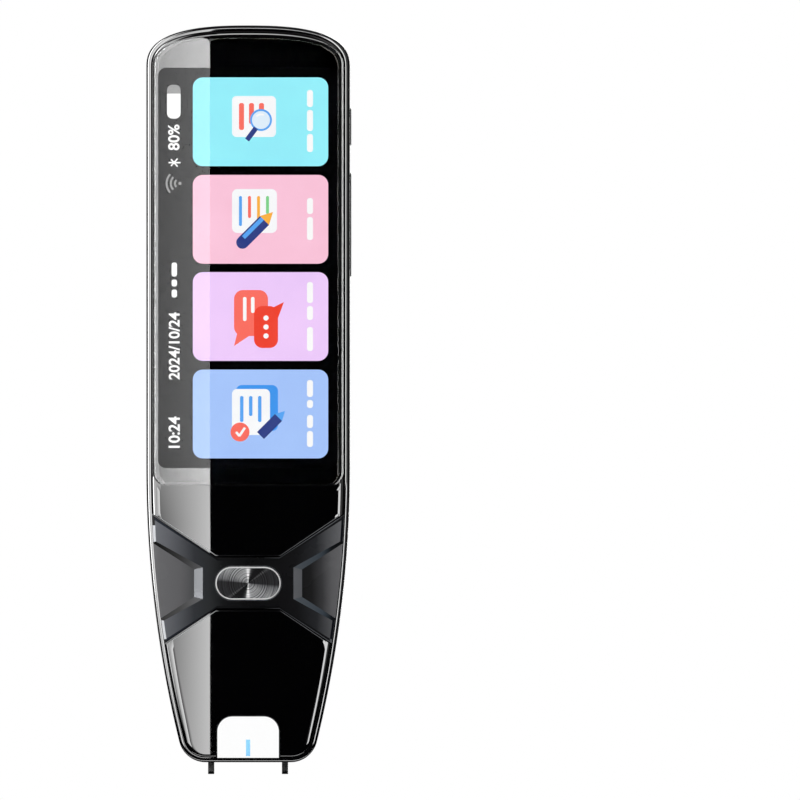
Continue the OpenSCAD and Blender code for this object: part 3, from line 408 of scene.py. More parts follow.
def shield(inset):
    """Plan of the speaker cover: straight sides down to a blunt point."""
    w, high = SHIELD_HALF - inset, TOP_Z + 2
    side = TOP_Z - SHIELD_SIDE + inset * 0.3
    point = side - w * SHIELD_DROP / SHIELD_HALF
    return ([(w, high), (-w, high)] + corner_arc((-w, high), (-w, side), (0, point), 3, 12)
            + corner_arc((-w, side), (0, point), (w, side), 6, 20)
            + corner_arc((0, point), (w, side), (w, high), 3, 12))


PAD_ZS, PAD_X, PAD_LOW_X, PAD_DROP = (55.0, 11.9), 4, 13.3, 11.4
PAD_R, PAD_LOW_R, PAD_RISE = 4, 4.9, math.tan(math.radians(37.5))


def pad(z, inset, side=1):
    """Plan of one grip pad, open over the side of the body. An inset moves each corner its own way."""
    reach = HALF_W + 2
    corner = (PAD_X + inset * 1.42, z)
    low = (PAD_LOW_X + inset * 0.1, z - PAD_DROP + inset * 1.3)
    top = (reach, z + (reach - PAD_X) * PAD_RISE - inset * 1.25)
    out = (reach, low[1] + (reach - low[0]) * PAD_RISE)
    points = ([top] + corner_arc(top, corner, low, PAD_R - inset * 0.9, 14)
              + corner_arc(corner, low, out, PAD_LOW_R - inset * 0.9, 14) + [out])
    return [(side * x, z) for x, z in points]


print("the back's surface at the middle and 19 mm out:", round(back_y(0, 50), 2), round(back_y(19, 50), 2))

# %% [markdown]
# ## Finishes
# Moulded plastic is never one flat value: it has a fine spark-eroded grain, faint cloudiness and
# patches where it is a little smoother. One function builds such a finish from two noises on
# object coordinates: the colour drifts a few percent, the roughness drifts with it, and a bump
# gives the grain. Metals get the same treatment with the noise stretched along the brushing.

# %% Material functions
FINISHES = {}


def add(tree, kind, *values, **named):
    """A new node. Its inputs come in order or by name, with a capital; lower-case names are options."""
    node = tree.nodes.new(kind)
    for option in [key for key in named if key[0].islower()]:
        setattr(node, option, named.pop(option))
    plug(tree, node, *values, **named)
    return node


def plug(tree, node, *values, **named):
    """Gives a node its inputs: a socket is linked, None is left alone, any other value is set."""
    pairs = [(node.inputs[k], value) for k, value in enumerate(values)]
    pairs += [(node.inputs[label.replace("_", " ")], value) for label, value in named.items()]
    for socket, value in pairs:
        if isinstance(value, bpy.types.NodeSocket):
            tree.links.new(value, socket)
        elif value is not None:
            socket.default_value = value


def maths(tree, operation, *values):
    return add(tree, "ShaderNodeMath", *values, operation=operation).outputs[0]


def spread_value(tree, source, low, high, start=0.3, end=0.7, kind="LINEAR"):
    return add(tree, "ShaderNodeMapRange", source, start, end, low, high, interpolation_type=kind).outputs[0]


def blend(tree, share, a, b):
    return add(tree, "ShaderNodeMix", share, None, a, b, data_type="FLOAT").outputs[0]


def linear(hex_colour):
    values = [int(hex_colour[i:i + 2], 16) / 255 for i in (1, 3, 5)]
    return tuple(v / 12.92 if v <= 0.04045 else ((v + 0.055) / 1.055) ** 2.4 for v in values)


def new_material(name):
    material = bpy.data.materials.new(name)
    material.use_nodes = True
    FINISHES[name] = material
    return material.node_tree, material.node_tree.nodes["Principled BSDF"]


def noise(tree, size, stretch=(1, 1, 1), detail=3.0, kind="ShaderNodeTexNoise"):
    """Noise on object coordinates, with features of a size in millimetres."""
    place = add(tree, "ShaderNodeTexCoord").outputs["Object"]
    mapping = add(tree, "ShaderNodeMapping", Vector=place, Scale=[1 / MM / size / s for s in stretch])
    node = add(tree, kind, Vector=mapping.outputs[0], Scale=1.0, Detail=detail)
    return node.outputs[0]


def ramp(tree, source, stops):
    """A colour ramp from (position, linear colour) pairs."""
    node = add(tree, "ShaderNodeValToRGB", Fac=source)
    elements = node.color_ramp.elements
    while len(elements) < len(stops):
        elements.new(0.5)
    for element, (position, colour) in zip(elements, stops):
        element.position = position
        element.color = (*colour, 1)
    return node.outputs["Color"]


def ramp_colours(tree, source, stops):
    return ramp(tree, source, [(position, linear(colour)) for position, colour in stops])


def drift_colour(tree, source, colour, drift):
    dark, light = [c * (1 - drift) for c in colour], [min(c * (1 + drift), 1) for c in colour]
    return ramp(tree, source, [(0.3, dark), (0.7, light)])


def grain(tree, shader, source, height):
    bump = add(tree, "ShaderNodeBump", Height=source, Strength=1.0, Distance=height * MM)
    plug(tree, shader, Normal=bump.outputs["Normal"])


def finish(name, hex_colour, rough, metal=0.0, size=0.12, height=0.004, drift=0.08, spread=0.05,
           stretch=(1, 1, 1), cloud=6.0, coat=0.0, ior=1.5, shine=0.5, kind="ShaderNodeTexNoise"):
    """Plastic or metal: size and height of its grain and size of its clouds in millimetres."""
    tree, shader = new_material(name)
    clouds = noise(tree, cloud, detail=4)
    fine = noise(tree, size, stretch, detail=2, kind=kind)
    plug(tree, shader, Base_Color=drift_colour(tree, clouds, linear(hex_colour), drift),
         Roughness=spread_value(tree, clouds, max(rough - spread, 0.01), rough + spread),
         Metallic=metal, IOR=ior, Specular_IOR_Level=shine, Coat_Weight=coat, Coat_Roughness=0.1)
    grain(tree, shader, fine, height)


def clear(name, hex_colour, ior):
    """Clear glass or plastic, with the faintest smears."""
    tree, shader = new_material(name)
    smears = noise(tree, 9, (1, 1, 2.5), detail=3)
    plug(tree, shader, Base_Color=drift_colour(tree, smears, linear(hex_colour), 0.01),
         Roughness=spread_value(tree, smears, 0.0, 0.003), IOR=ior, Transmission_Weight=1.0)


def see_through(name):
    """A thin flat window: nothing bends in it, so it is a mix of transparent and a faint shine."""
    tree, shader = new_material(name)
    smears = noise(tree, 5, detail=3)
    plug(tree, shader, Base_Color=(0.9, 0.95, 1.0, 1), Roughness=spread_value(tree, smears, 0.01, 0.04),
         Alpha=spread_value(tree, smears, 0.015, 0.03))


def glow(name, hex_colour):
    """A lit part of the display: the colour shines by itself, a little uneven."""
    tree, shader = new_material(name)
    colour = drift_colour(tree, noise(tree, 9, detail=2), linear(hex_colour), 0.03)
    plug(tree, shader, Base_Color=(0.01, 0.01, 0.01, 1), Roughness=0.5, Specular_IOR_Level=0.0,
         Emission_Color=colour, Emission_Strength=1.0)


# %% The finishes of this pen
MOULDED = dict(size=0.3, height=0.0005, drift=0.05, spread=0.012, cloud=14, ior=1.75)
GLOSS = dict(size=3.0, height=0.00001, drift=0.2, spread=0.008, cloud=12, ior=2.0)
LINE_BLUE = "#7bbee9"
finish("housing_black", "#08080a", 0.06, size=0.5, height=0.00005, drift=0.2, spread=0.015, cloud=9, ior=2.2)
finish("back_grey", "#18191b", 0.24, **MOULDED)
finish("cover_grey", "#191a1c", 0.23, **MOULDED)
finish("bezel_gloss", "#030304", 0.02, **GLOSS)
finish("ink_black", "#030304", 0.02, **GLOSS)
clear("cover_glass_clear", "#ffffff", 1.28)
clear("window_tint", "#c9ced3", 1.5)
see_through("window_clear")
finish("display_dark", "#040406", 0.25, size=0.08, height=0.0002, drift=0.05, spread=0.02, cloud=40,
       shine=0.0)
finish("line_blue", LINE_BLUE, 0.4, size=0.1, height=0.001, drift=0.04)
# the plastic blue line also gets a faint emission: a painted glow, since it is no lamp
painted_glow_tree = FINISHES["line_blue"].node_tree
plug(painted_glow_tree, painted_glow_tree.nodes["Principled BSDF"], Emission_Color=(*linear(LINE_BLUE), 1), Emission_Strength=0.6)
finish("mesh_black", "#030303", 0.6, size=0.25, height=0.02, shine=0.1, kind="ShaderNodeTexVoronoi")
finish("rim_metal", "#5c5e62", 0.16, metal=1.0, size=0.06, height=0.0004, drift=0.05)
finish("tinted_window", "#020202", 0.03, size=3.0, height=0.00001, drift=0.2, spread=0.01, cloud=10, ior=1.6)
finish("camera_body", "#0c0c0e", 0.35, size=0.1, height=0.002)
finish("trigger_black", "#141517", 0.3, size=0.09, height=0.001, ior=1.7)
finish("key_grey", "#141518", 0.3, size=0.09, height=0.001)
# the button's chamfer: its white is partly painted highlight and partly the shine of the cut metal
finish("button_edge", "#ffffff", 0.22, metal=0.25, size=0.05, height=0.0003, drift=0.03)
# the cross's bevels: its satin made lighter and partly metal, a painted highlight as well as a real shine
finish("cover_bevel", "#505256", 0.3, metal=0.3, size=0.09, height=0.0004, drift=0.04)
finish("spring_steel", "#b9bab7", 0.22, metal=1.0, size=0.05, height=0.0006, stretch=(1, 1, 4))
finish("screw_black", "#2a2b2d", 0.4, metal=1.0, size=0.08, height=0.002)
finish("screw_steel", "#8d9093", 0.3, metal=1.0, size=0.08, height=0.002)
print("finishes so far:", len(FINISHES))

# %% [markdown]
# ## Finishes of the pieces inside
# Little of the inside shows in a closed pen, but the model can be opened, so every inner piece gets
# the finish of its real material too. These pieces keep the engineering shapes; only their material
# slots change.

# %% Finishes inside
finish("tray_steel", "#c2c5c9", 0.3, metal=1.0, size=0.3, height=0.001, stretch=(6, 1, 1))
finish("flex_amber", "#8a5a1c", 0.35, size=0.8, height=0.004, drift=0.15, cloud=2)
finish("switch_body", "#c2c2bc", 0.45, size=0.1, height=0.003)
finish("gasket_rubber", "#1b1b1b", 0.85, size=0.3, height=0.03, kind="ShaderNodeTexVoronoi")
finish("driver_metal", "#55585c", 0.4, metal=0.8, size=0.15, height=0.003)
finish("board_green", "#1a6b3c", 0.3, size=0.5, height=0.012, drift=0.2, cloud=1.2, coat=0.5)
finish("light_cream", "#f4f1d8", 0.3, size=0.1, height=0.002)
finish("port_steel", "#b4b6b9", 0.25, metal=1.0, size=0.2, height=0.001, stretch=(1, 1, 5))
finish("shield_tin", "#b4b7ba", 0.28, metal=1.0, size=0.3, height=0.002, stretch=(5, 1, 1))
finish("chip_black", "#1a1a1c", 0.5, size=0.06, height=0.003)
finish("mic_brass", "#c7b26a", 0.28, metal=1.0, size=0.1, height=0.002)
finish("battery_foil", "#c9cbcd", 0.3, metal=0.9, size=1.6, height=0.03, drift=0.05, cloud=8)
finish("pad_foam", "#e6e0c8", 0.8, size=0.25, height=0.04, kind="ShaderNodeTexVoronoi")
finish("lead_red", "#c23a34", 0.4, size=0.3, height=0.003)
for slot, other in (("tape_black", "ink_black"), ("clear_window", "window_clear"),
                    ("cover_glass", "cover_glass_clear")):
    FINISHES[slot] = FINISHES[other]
print("finishes with the inner ones:", len(FINISHES))

# %% [markdown]
# ## Spun metal and satin with painted light
# The scan button's face is turned on a lathe, with rings so fine that they only show as a silky
# fan of light and dark wedges round the middle. Real rings would need thousands of faces, so the
# wedges are painted highlight and shade, a colour ramp on the angle round the button's middle, and
# the rings a noise on the distance from it, used for colour, roughness and bump. The cross is
# satin whose colour carries painted light and shade: black round the button and gunmetal at the
# four ends, lightest at the left, a ramp across the pen. Its slopes, ends and lines have ramps of
# painted highlight and shade of their own.

# %% Spun metal with painted sheen, satin with painted light and the lens's painted glints
def object_axes(tree):
    return add(tree, "ShaderNodeSeparateXYZ", add(tree, "ShaderNodeTexCoord").outputs["Object"]).outputs


def from_middle(tree, a, b):
    """The distance of (a, b) from the middle."""
    squares = [maths(tree, "MULTIPLY", value, value) for value in (a, b)]
    return maths(tree, "SQRT", maths(tree, "ADD", *squares))


# share of half a turn from straight up, and the colour there: painted highlight where it is light, painted
# shade where it is dark
PAINTED_SHEEN_WEDGES = [(0.0, "#ffffff"), (0.025, "#f4f4f4"), (0.06, "#585859"), (0.1, "#2c2c2d"), (0.15, "#0e0e10"),
          (0.26, "#0a0a0c"), (0.30, "#4c4c4d"), (0.33, "#28282a"), (0.52, "#28282a"), (0.56, "#6c6d6f"),
          (0.68, "#949596"), (0.84, "#9c9d9e"), (0.92, "#a8a9aa"), (0.955, "#c8c8c8"), (0.975, "#ffffff"),
          (1.0, "#ffffff")]


def spun_metal_painted_sheen(name):
    tree, shader = new_material(name)
    x, _, z = object_axes(tree)
    turn = maths(tree, "DIVIDE", maths(tree, "ARCTAN2", x, z), math.pi)
    # the wedges round the button's middle are painted highlight and shade
    painted_wedges = ramp_colours(tree, maths(tree, "FRACT", maths(tree, "ADD", turn, 2.0)), PAINTED_SHEEN_WEDGES)
    radius = maths(tree, "MULTIPLY", from_middle(tree, x, z), 1 / MM)
    rings = add(tree, "ShaderNodeTexNoise", noise_dimensions="1D", W=radius, Scale=4.2, Detail=2.0).outputs[0]
    ring_tones = ramp_colours(tree, rings, [(0.35, "#7a7a7a"), (0.62, "#ffffff")])
    ringed = add(tree, "ShaderNodeMix", 1.0, *[None] * 5, painted_wedges, ring_tones, data_type="RGBA",
                 blend_type="MULTIPLY")
    plug(tree, shader, Base_Color=ringed.outputs[2], Roughness=spread_value(tree, rings, 0.42, 0.56),
         Metallic=0.55, Specular_IOR_Level=0.15)
    grain(tree, shader, rings, 0.004)


GRADE_REACH = 21  # millimetres from the middle to either end of a grade


def satin_painted_light(name, stops, rough=0.27):
    """Satin lacquer with painted light and shade: its colour follows stops across the pen; each stop has its
    X in millimetres.
    """
    tree, shader = new_material(name)
    clouds = noise(tree, 9, detail=4)
    drifted = maths(tree, "ADD", object_axes(tree)[0], spread_value(tree, clouds, -0.0003, 0.0003))
    share = spread_value(tree, drifted, 0.0, 1.0, -GRADE_REACH * MM, GRADE_REACH * MM)
    colour = ramp_colours(tree, share, [((x + GRADE_REACH) / (2 * GRADE_REACH), tone) for x, tone in stops])
    plug(tree, shader, Base_Color=colour, Roughness=spread_value(tree, clouds, rough - 0.01, rough + 0.01),
         Specular_IOR_Level=0.07)
    grain(tree, shader, noise(tree, 0.09, detail=2), 0.0004)


LENS_RADIUS = 2.2


def lens_painted_glints(name, z):
    """Glass with a coating whose colour changes in rings round the lens's middle, at height z; the bright
    middle and the blue and violet rings are painted glints over the coating's tint.
    """
    tree, shader = new_material(name)
    x, _, height = object_axes(tree)
    radius = from_middle(tree, x, maths(tree, "SUBTRACT", height, z * MM))
    rings = ramp_colours(tree, maths(tree, "DIVIDE", radius, LENS_RADIUS * MM), [
        (0.0, "#b8dcff"), (0.1, "#3a78ff"), (0.24, "#4438c0"), (0.36, "#0c0e28"), (0.52, "#181b44"),
        (0.64, "#06070f"), (0.82, "#1d1748"), (0.92, "#05050a")])
    plug(tree, shader, Base_Color=rings, Roughness=spread_value(tree, noise(tree, 1.5), 0.05, 0.1),
         Metallic=0.25, Coat_Weight=1.0, Coat_Roughness=0.02)


CAMERA_Z = 82.2
spun_metal_painted_sheen("button_metal")
# cover_satin's ramp is painted light and shade: black round the button, lighter towards the four ends and
# lightest at the left
satin_painted_light("cover_satin", [
    (-20, "#787a80"), (-11, "#303236"), (-8, "#282a2c"), (-5, "#0c0d0f"), (0, "#050506"), (10, "#101012"),
    (14, "#242528"), (20, "#6c6d70")])
# pocket floors: painted light and shade, light at the left, dark by the hub, lighter again at the right
satin_painted_light("pocket_satin", [
    (-20, "#7c7c7e"), (-18, "#6c6c6e"), (-14, "#646466"), (-10, "#464648"), (9, "#08080a"), (13, "#181819"),
    (15, "#363638"), (17, "#5a5a5c"), (20, "#6c6c6e")])
# pocket slopes: painted highlight, dark at both outer ends, light near the hub, bluish grey at the right
satin_painted_light("pocket_slope", [
    (-20, "#080808"), (-18, "#181818"), (-14, "#383838"), (-10, "#58585a"), (10, "#4c5258"), (15, "#3c444c"),
    (17, "#0c1014"), (20, "#080808")])
# arm ends: painted highlight, near white at the left and near black at the right
satin_painted_light("cover_end", [(-21, "#e4e6ea"), (-10, "#e4e6ea"), (10, "#0c0e14"), (21, "#0c0e14")], 0.2)
# the cross's outer edge facet: painted reflection and shade, bluish at the left, near black elsewhere
satin_painted_light("cover_shade", [
    (-21, "#2a2e36"), (-17, "#1c212a"), (-12, "#0f131a"), (-6, "#050608"), (6, "#050607"), (20, "#0a0b0d")])
# the steep edge line of the cross: painted highlight, black at the left and the hub, grey towards the right
satin_painted_light("cover_line", [
    (-21, "#040405"), (3, "#040405"), (6.7, "#3c3e41"), (10, "#505256"), (17, "#56585c"), (19, "#101216")])
# the seat's line round the cross: painted highlight, light at the left, black across the hub, grey at the
# right
satin_painted_light("seat_line", [
    (-21, "#b0b2b4"), (-6.9, "#d0d2d4"), (-6, "#08080a"), (6.2, "#08080a"), (7, "#66686a"), (21, "#66686a")])
lens_painted_glints("lens_blue", CAMERA_Z)
print("finishes in all:", len(FINISHES))

# %% [markdown]
# ## The front shell
# The black rim is a thin moulding: a ledge for the glossy front, a rounded lip and a deck that
# carries the boards. A loft of the outline gives it in one skin; the notch, the openings of the
# side keys and the port are carved afterwards.

# %% Front shell
KEY_Y, KEY_WIDTH, POWER_LENGTH, VOLUME_LENGTH = -0.45, 1.9, 7.6, 21.1
POWER_Z, VOLUME_Z = 92.8, 72.9
PORT_W, PORT_H, PORT_Y = 8.94, 3.2, 1.5
SEAM_EDGE = 0.14


def key_opening(length, z):
    """A stadium along Z, pushed through the side wall along X."""
    plan = stadium(length + 2 * GAP, KEY_WIDTH + 2 * GAP)
    return prism_x([(KEY_Y + a, z + b) for b, a in plan], HALF_W - WALL - 1, HALF_W + 2)


def port_opening():
    plan = stadium(PORT_W + 2 * GAP, PORT_H + 2 * GAP)
    return prism_z([(x, PORT_Y + y) for x, y in plan], TOP_Z - 6, TOP_Z + 4)


# from the deck over the glossy front's ledge and the lip, then down the outer side and in at the seam
RIM = ([(WALL, DECK_FRONT), (WALL, BEZEL_BACK), (LIP, BEZEL_BACK)] + rounding(0, LIP, FRONT_Y, 0.36, 12)
       + [(0, -3), (0, SEAM_Y - SEAM_EDGE), (SEAM_EDGE, SEAM_Y), (WALL, SEAM_Y), (WALL, DECK_BACK)])
front_shell = loft(outline, RIM, "front_shell")
liner = carve(prism(notch(0.5, TIP_Z - 1), BEZEL_BACK, SEAM_Y),
              loft(outline, [(LIP, BEZEL_BACK - 1), (LIP, SEAM_Y + 1)]), how="INTERSECT")
carve(front_shell, liner, how="UNION")
carve(front_shell,
      prism(notch(0, TIP_Z - 2), BEZEL_BACK - 0.02, SEAM_Y + 1),
      prism(notch(0.3, TIP_Z + LIP), FRONT_Y - 1, BEZEL_BACK),
      key_opening(POWER_LENGTH, POWER_Z),
      key_opening(VOLUME_LENGTH, VOLUME_Z),
      port_opening())
smooth(front_shell)

# %% [markdown]
# ## The glossy front
# A separate plate of gloss black inside the rim, with seats for the cover glass and the cross.
# Its outer edge is rounded, so it draws one thin line of light beside the rim.

# %% Glossy front
HUB_HALF, HUB_H, ARM_SLOPE = 6.5, 5.45, math.radians(33.7)
BUTTON_W, BUTTON_H = 13.3, 6.7
BEZEL_IN, BEZEL_ROUND, BEZEL_ROUND_DEPTH = LIP + 0.05, 1.95, 0.45
TIP_FADE_Z, TIP_FADE, TIP_STRETCH = -28, 5.5, 1.25
DISPLAY_OPENING = ((-18.4, -6, 23.3), (18.4, -4, 104.9))
CROSS_BACK = FRONT_Y + 0.6
# (inset, y) levels of the two seats, from the front; each has a small bevel at its edge
GLASS_SEAT = [(-0.25, FRONT_Y - 1), (-0.21, FRONT_Y - 0.01), (-0.05, FRONT_Y + 0.045), (-0.05, TAPE_BACK)]
CROSS_SEAT = [(-0.34, FRONT_Y - 1), (-0.31, FRONT_Y - 0.01), (-0.12, FRONT_Y + 0.04),
              (-0.05, FRONT_Y + 0.3), (-0.05, CROSS_BACK)]


def cross(inset):
    reach, slope = HALF_W + 1, math.tan(ARM_SLOPE)
    drop, h = inset / math.cos(ARM_SLOPE), HUB_H - inset
    x = HUB_HALF - (drop - inset) / slope
    z = HUB_H - drop + (reach - HUB_HALF) * slope
    return [(reach, z), (x, h), (-x, h), (-reach, z), (-reach, -z), (-x, -h), (x, -h), (reach, -z)]


def from_cross(x, z):
    """How far a point is inside the cross's outline; below 0 it is outside."""
    if abs(x) < HUB_HALF:
        return HUB_H - abs(z)
    return (HUB_H + (abs(x) - HUB_HALF) * math.tan(ARM_SLOPE) - abs(z)) * math.cos(ARM_SLOPE)


def button_plan(inset, steps=32):
    return stadium(BUTTON_W - 2 * inset, BUTTON_H - 2 * inset, steps)


glossy_front = loft(outline, rounding(BEZEL_IN, BEZEL_ROUND, FRONT_Y, BEZEL_ROUND_DEPTH, 16)
                    + [(BEZEL_IN, BEZEL_BACK)], "glossy_front")
# The rounding gets tighter towards the tip, so the flat face reaches lower there.
for vertex in glossy_front.data.vertices:
    level = 1 - (vertex.co.y / MM - FRONT_Y) / BEZEL_ROUND_DEPTH
    inner = 1 - math.sqrt(max(1 - level * level, 0.0)) if 0 < level <= 1.001 else 0.0
    share = min(max((TIP_FADE_Z - vertex.co.z / MM) / TIP_FADE, 0.0), 1.0)
    vertex.co.z -= TIP_STRETCH * MM * inner * share
carve(glossy_front,
      loft(glass_outline, GLASS_SEAT),
      block(*DISPLAY_OPENING),
      loft(cross, CROSS_SEAT),
      prism(button_plan(-GAP), FRONT_Y - 1, BEZEL_BACK + 1),
      prism(notch(0.3, TIP_Z - 2), FRONT_Y - 1, BEZEL_BACK + 1))
smooth(glossy_front)

# %% [markdown]
# ## Cover glass, ink and display
# The glass is one closed solid with a pillowed edge, so light bends through it and draws the soft
# grey border. Behind it lie a frame of black ink and the display. Only the ink is glossy and dense:
# over the display the glass alone reflects, which is why the lit area looks darker there.

# %% Cover glass, ink and display
DISPLAY_W, DISPLAY_H, DISPLAY_Z, DISPLAY_FRONT = 36.6, 81.4, 64.1, -5.3
cover_glass = loft(glass_outline, [(1.6, GLASS_FRONT)] + rounding(0, 1.3, GLASS_FRONT, 0.47, 16)
                   + [(0, GLASS_BACK - 0.06), (0.06, GLASS_BACK)], "cover_glass_pane")
smooth(cover_glass, angle=40)
ink = prism(glass_outline(0.1), GLASS_BACK + 0.02, TAPE_BACK, "ink_frame")
carve(ink, prism(round_box(DISPLAY_W, DISPLAY_H, 1.6, z=DISPLAY_Z), -6, -5))
smooth(ink)
screen = prism(round_box(DISPLAY_W, DISPLAY_H, 1.0, z=DISPLAY_Z), DISPLAY_FRONT, -3.8, "screen")
smooth(screen)

# %% [markdown]
# ## What the display shows
# The screen lies on its side, as the pen is held across a page: everything reads from the lower
# end to the upper. Plain round-cornered tiles with simple pictures stand for its functions; they
# carry no words. Each shape is a thin lit plate just in front of the panel, stacked a hundredth of
# a millimetre apart. Places and sizes are in pixels of the front view.

# %% Shapes on the display
LAYER, THICK = 0.012, 0.008
ui_parts = {}


def x_at(pixel):
    return (pixel - MIDDLE_X) * PIXEL_MM


def z_at(pixel):
    return (ORIGIN_Y - pixel) * PIXEL_MM


def plate(points, colour, layer=1):
    """One lit shape: a thin plate of the outline, filed under its colour."""
    y = DISPLAY_FRONT - LAYER * layer
    ui_parts.setdefault(colour, []).append(prism(points, y, y + THICK, "plate"))


def tile(x0, y0, x1, y1, r, colour, layer=1):
    """A round-cornered box given by two opposite corners."""
    ax, bx, az, bz = x_at(x0), x_at(x1), z_at(y1), z_at(y0)
    plate(round_box(bx - ax, bz - az, r * PIXEL_MM, 8, (ax + bx) / 2, (az + bz) / 2), colour, layer)


def disc(x, y, r, colour, layer=1, steps=24):
    plate(circle(x_at(x), z_at(y), r * PIXEL_MM, steps), colour, layer)


def polygon(points, colour, layer=1):
    plate([(x_at(x), z_at(y)) for x, y in points], colour, layer)


def bar(x0, y0, x1, y1, width, colour, layer=1):
    """A straight stroke with square ends."""
    dx, dy = x1 - x0, y1 - y0
    d = math.hypot(dx, dy)
    nx, ny = -dy / d * width / 2, dx / d * width / 2
    corners = [(x0 + nx, y0 + ny), (x1 + nx, y1 + ny), (x1 - nx, y1 - ny), (x0 - nx, y0 - ny)]
    polygon(corners, colour, layer)


def ring_arc(x, y, r, width, a0, a1, colour, layer=1):
    outer = arc(x_at(x), z_at(y), (r + width / 2) * PIXEL_MM, a0, a1, 14)
    inner = arc(x_at(x), z_at(y), (r - width / 2) * PIXEL_MM, a1, a0, 14)
    plate(outer + inner, colour, layer)


def bars(x, y, step, width, r, lengths, tones, layer):
    """Bars side by side that stand for lines of text, each with its length."""
    for k, length in enumerate(lengths):
        tile(x + step * k, y, x + step * k + width, y + length, r, tones[k % len(tones)], layer)


def numerals(text, x, y, height, colour):
    """Numerals that read upwards, with the middle of their line at (x, y)."""
    curve = bpy.data.curves.new("numerals", "FONT")
    curve.body, curve.size = text, 1.0
    curve.align_x, curve.align_y = "CENTER", "CENTER"
    curve.extrude, curve.offset = 0.0, 0.022
    temporary = new_object("numerals", curve)
    graph = bpy.context.evaluated_depsgraph_get()
    mesh = bpy.data.meshes.new_from_object(temporary.evaluated_get(graph), depsgraph=graph)
    bpy.data.objects.remove(temporary)
    bm = bmesh.new()
    bm.from_mesh(mesh)
    (left, right), (low, high) = ((min(c), max(c)) for c in ([v.co[k] for v in bm.verts] for k in (0, 1)))
    scale = height * PIXEL_MM * MM / (high - low)
    for v in bm.verts:
        along_line, up = (v.co.x - (left + right) / 2) * scale, (v.co.y - (low + high) / 2) * scale
        v.co = Vector((x_at(x) * MM - up, (DISPLAY_FRONT - LAYER) * MM, z_at(y) * MM + along_line))
    extruded = bmesh.ops.extrude_face_region(bm, geom=bm.faces[:])
    for v in [g for g in extruded["geom"] if isinstance(g, bmesh.types.BMVert)]:
        v.co.y += THICK * MM
    bmesh.ops.recalc_face_normals(bm, faces=bm.faces)
    bm.to_mesh(mesh)
    bm.free()
    ui_parts.setdefault(colour, []).append(new_object("numerals", mesh))


# %% The status line and the clock
CLOCK_X, SIGNAL = 174.2, (180.0, 183.4)
tile(167.0, 95.4, 180.6, 118.6, 5.4, "white", 1)
tile(167.0, 84.8, 180.6, 97.0, 5.4, "grey", 1)
tile(167.0, 93.6, 180.6, 101.0, 0.6, "white", 2)
numerals("80%", 173.8, 137.4, 11.5, "white")
bar(168.5, 162.6, 180.5, 162.6, 1.5, "white")
bar(171.0, 166.0, 177.6, 158.6, 1.4, "white")
bar(171.0, 159.2, 177.6, 166.6, 1.4, "white")
disc(*SIGNAL, 1.6, "grey")
for r in (5.0, 9.2, 13.4):
    ring_arc(*SIGNAL, r, 1.9, 137, 223, "grey")
numerals("2024/10/24", CLOCK_X, 346.0, 11.0, "white")
for y0, y1 in ((262.5, 276.5), (279.5, 286.5), (289.5, 297.5)):
    tile(171.6, y0, 177.0, y1, 2.2, "white")
numerals("10:24", CLOCK_X, 432.2, 11.5, "white")
print("status line:", sum(len(parts) for parts in ui_parts.values()), "shapes")

# %% The four tiles
TILE_LEFT, TILE_RIGHT, TILE_H = 192.8, 328.2, 88.8
LABEL_LEFT, LABEL_RIGHT = 307.0, 313.0
TILES = [  # top edge, colour and the bars of its label, from start to end
    (77.4, "cyan", ((90, 107), (110, 131), (134, 152))),
    (174.9, "pink", ((198, 214), (217, 240))),
    (272.1, "lilac", ((282, 303), (306, 320), (327, 351))),
    (369.6, "blue", ((380, 397), (400, 408), (415, 428), (431, 447)))]
for top, colour, label in TILES:
    tile(TILE_LEFT, top, TILE_RIGHT, top + TILE_H, 10, colour, 1)
    for y0, y1 in label:
        tile(LABEL_LEFT, y0, LABEL_RIGHT, y1, 2.6, "white", 3)


def page_and_lens():
    tile(232, 96, 276, 137, 4.5, "paper", 2)
    bars(239, 103, 10, 5, 2.0, (27, 21, 27), ["coral"], 3)
    bar(256, 128, 247, 140, 5.0, "navy", 4)
    disc(261, 120, 11.0, "sky", 4, 32)
    disc(261, 120, 9.0, "glass", 5, 32)
    ring_arc(261, 120, 5.6, 1.8, 60, 140, "paper", 6)


def card_and_pen():
    tile(232, 189, 277, 233, 5.5, "paper", 2)
    bars(239, 196, 9, 3, 1.4, (30, 22, 30, 18), ["sky", "coral", "amber", "leaf"], 3)
    polygon([(238, 238), (247, 247), (269, 225), (260, 216)], "navy", 4)
    polygon([(242, 236), (245, 239), (264, 220), (261, 217)], "sky", 5)
    polygon([(260, 216), (269, 225), (273, 212)], "amber", 5)
    disc(242.5, 242.5, 6.3, "navy", 4)


def speech_bubbles():
    tile(234, 290, 268, 336, 9, "coral", 2)
    polygon([(238, 330), (252, 334), (234, 346)], "coral", 2)
    bars(243, 297, 8, 3.5, 1.6, (24, 16), ["paper"], 3)
    tile(254, 306, 278, 348, 8.5, "red", 3)
    polygon([(272, 308), (278, 318), (284, 302)], "red", 3)
    for k in range(3):
        disc(266, 318 + 9 * k, 2.6, "paper", 4)


def book_and_badge():
    tile(236, 385, 278, 431, 6, "azure", 2)
    tile(232, 389, 270, 435, 5, "paper", 3)
    bars(240, 396, 9, 3.5, 1.6, (26, 20, 26), ["sky"], 4)
    disc(240, 432, 9.5, "coral", 5, 32)
    bar(236, 432, 239.5, 436, 2.4, "paper", 6)
    bar(239.2, 436.2, 245, 427.6, 2.4, "paper", 6)
    polygon([(257, 432), (264, 439), (282, 421), (275, 414)], "navy", 5)
    polygon([(275, 414), (282, 421), (285, 411)], "sky", 6)


for symbol in (page_and_lens, card_and_pen, speech_bubbles, book_and_badge):
    symbol()

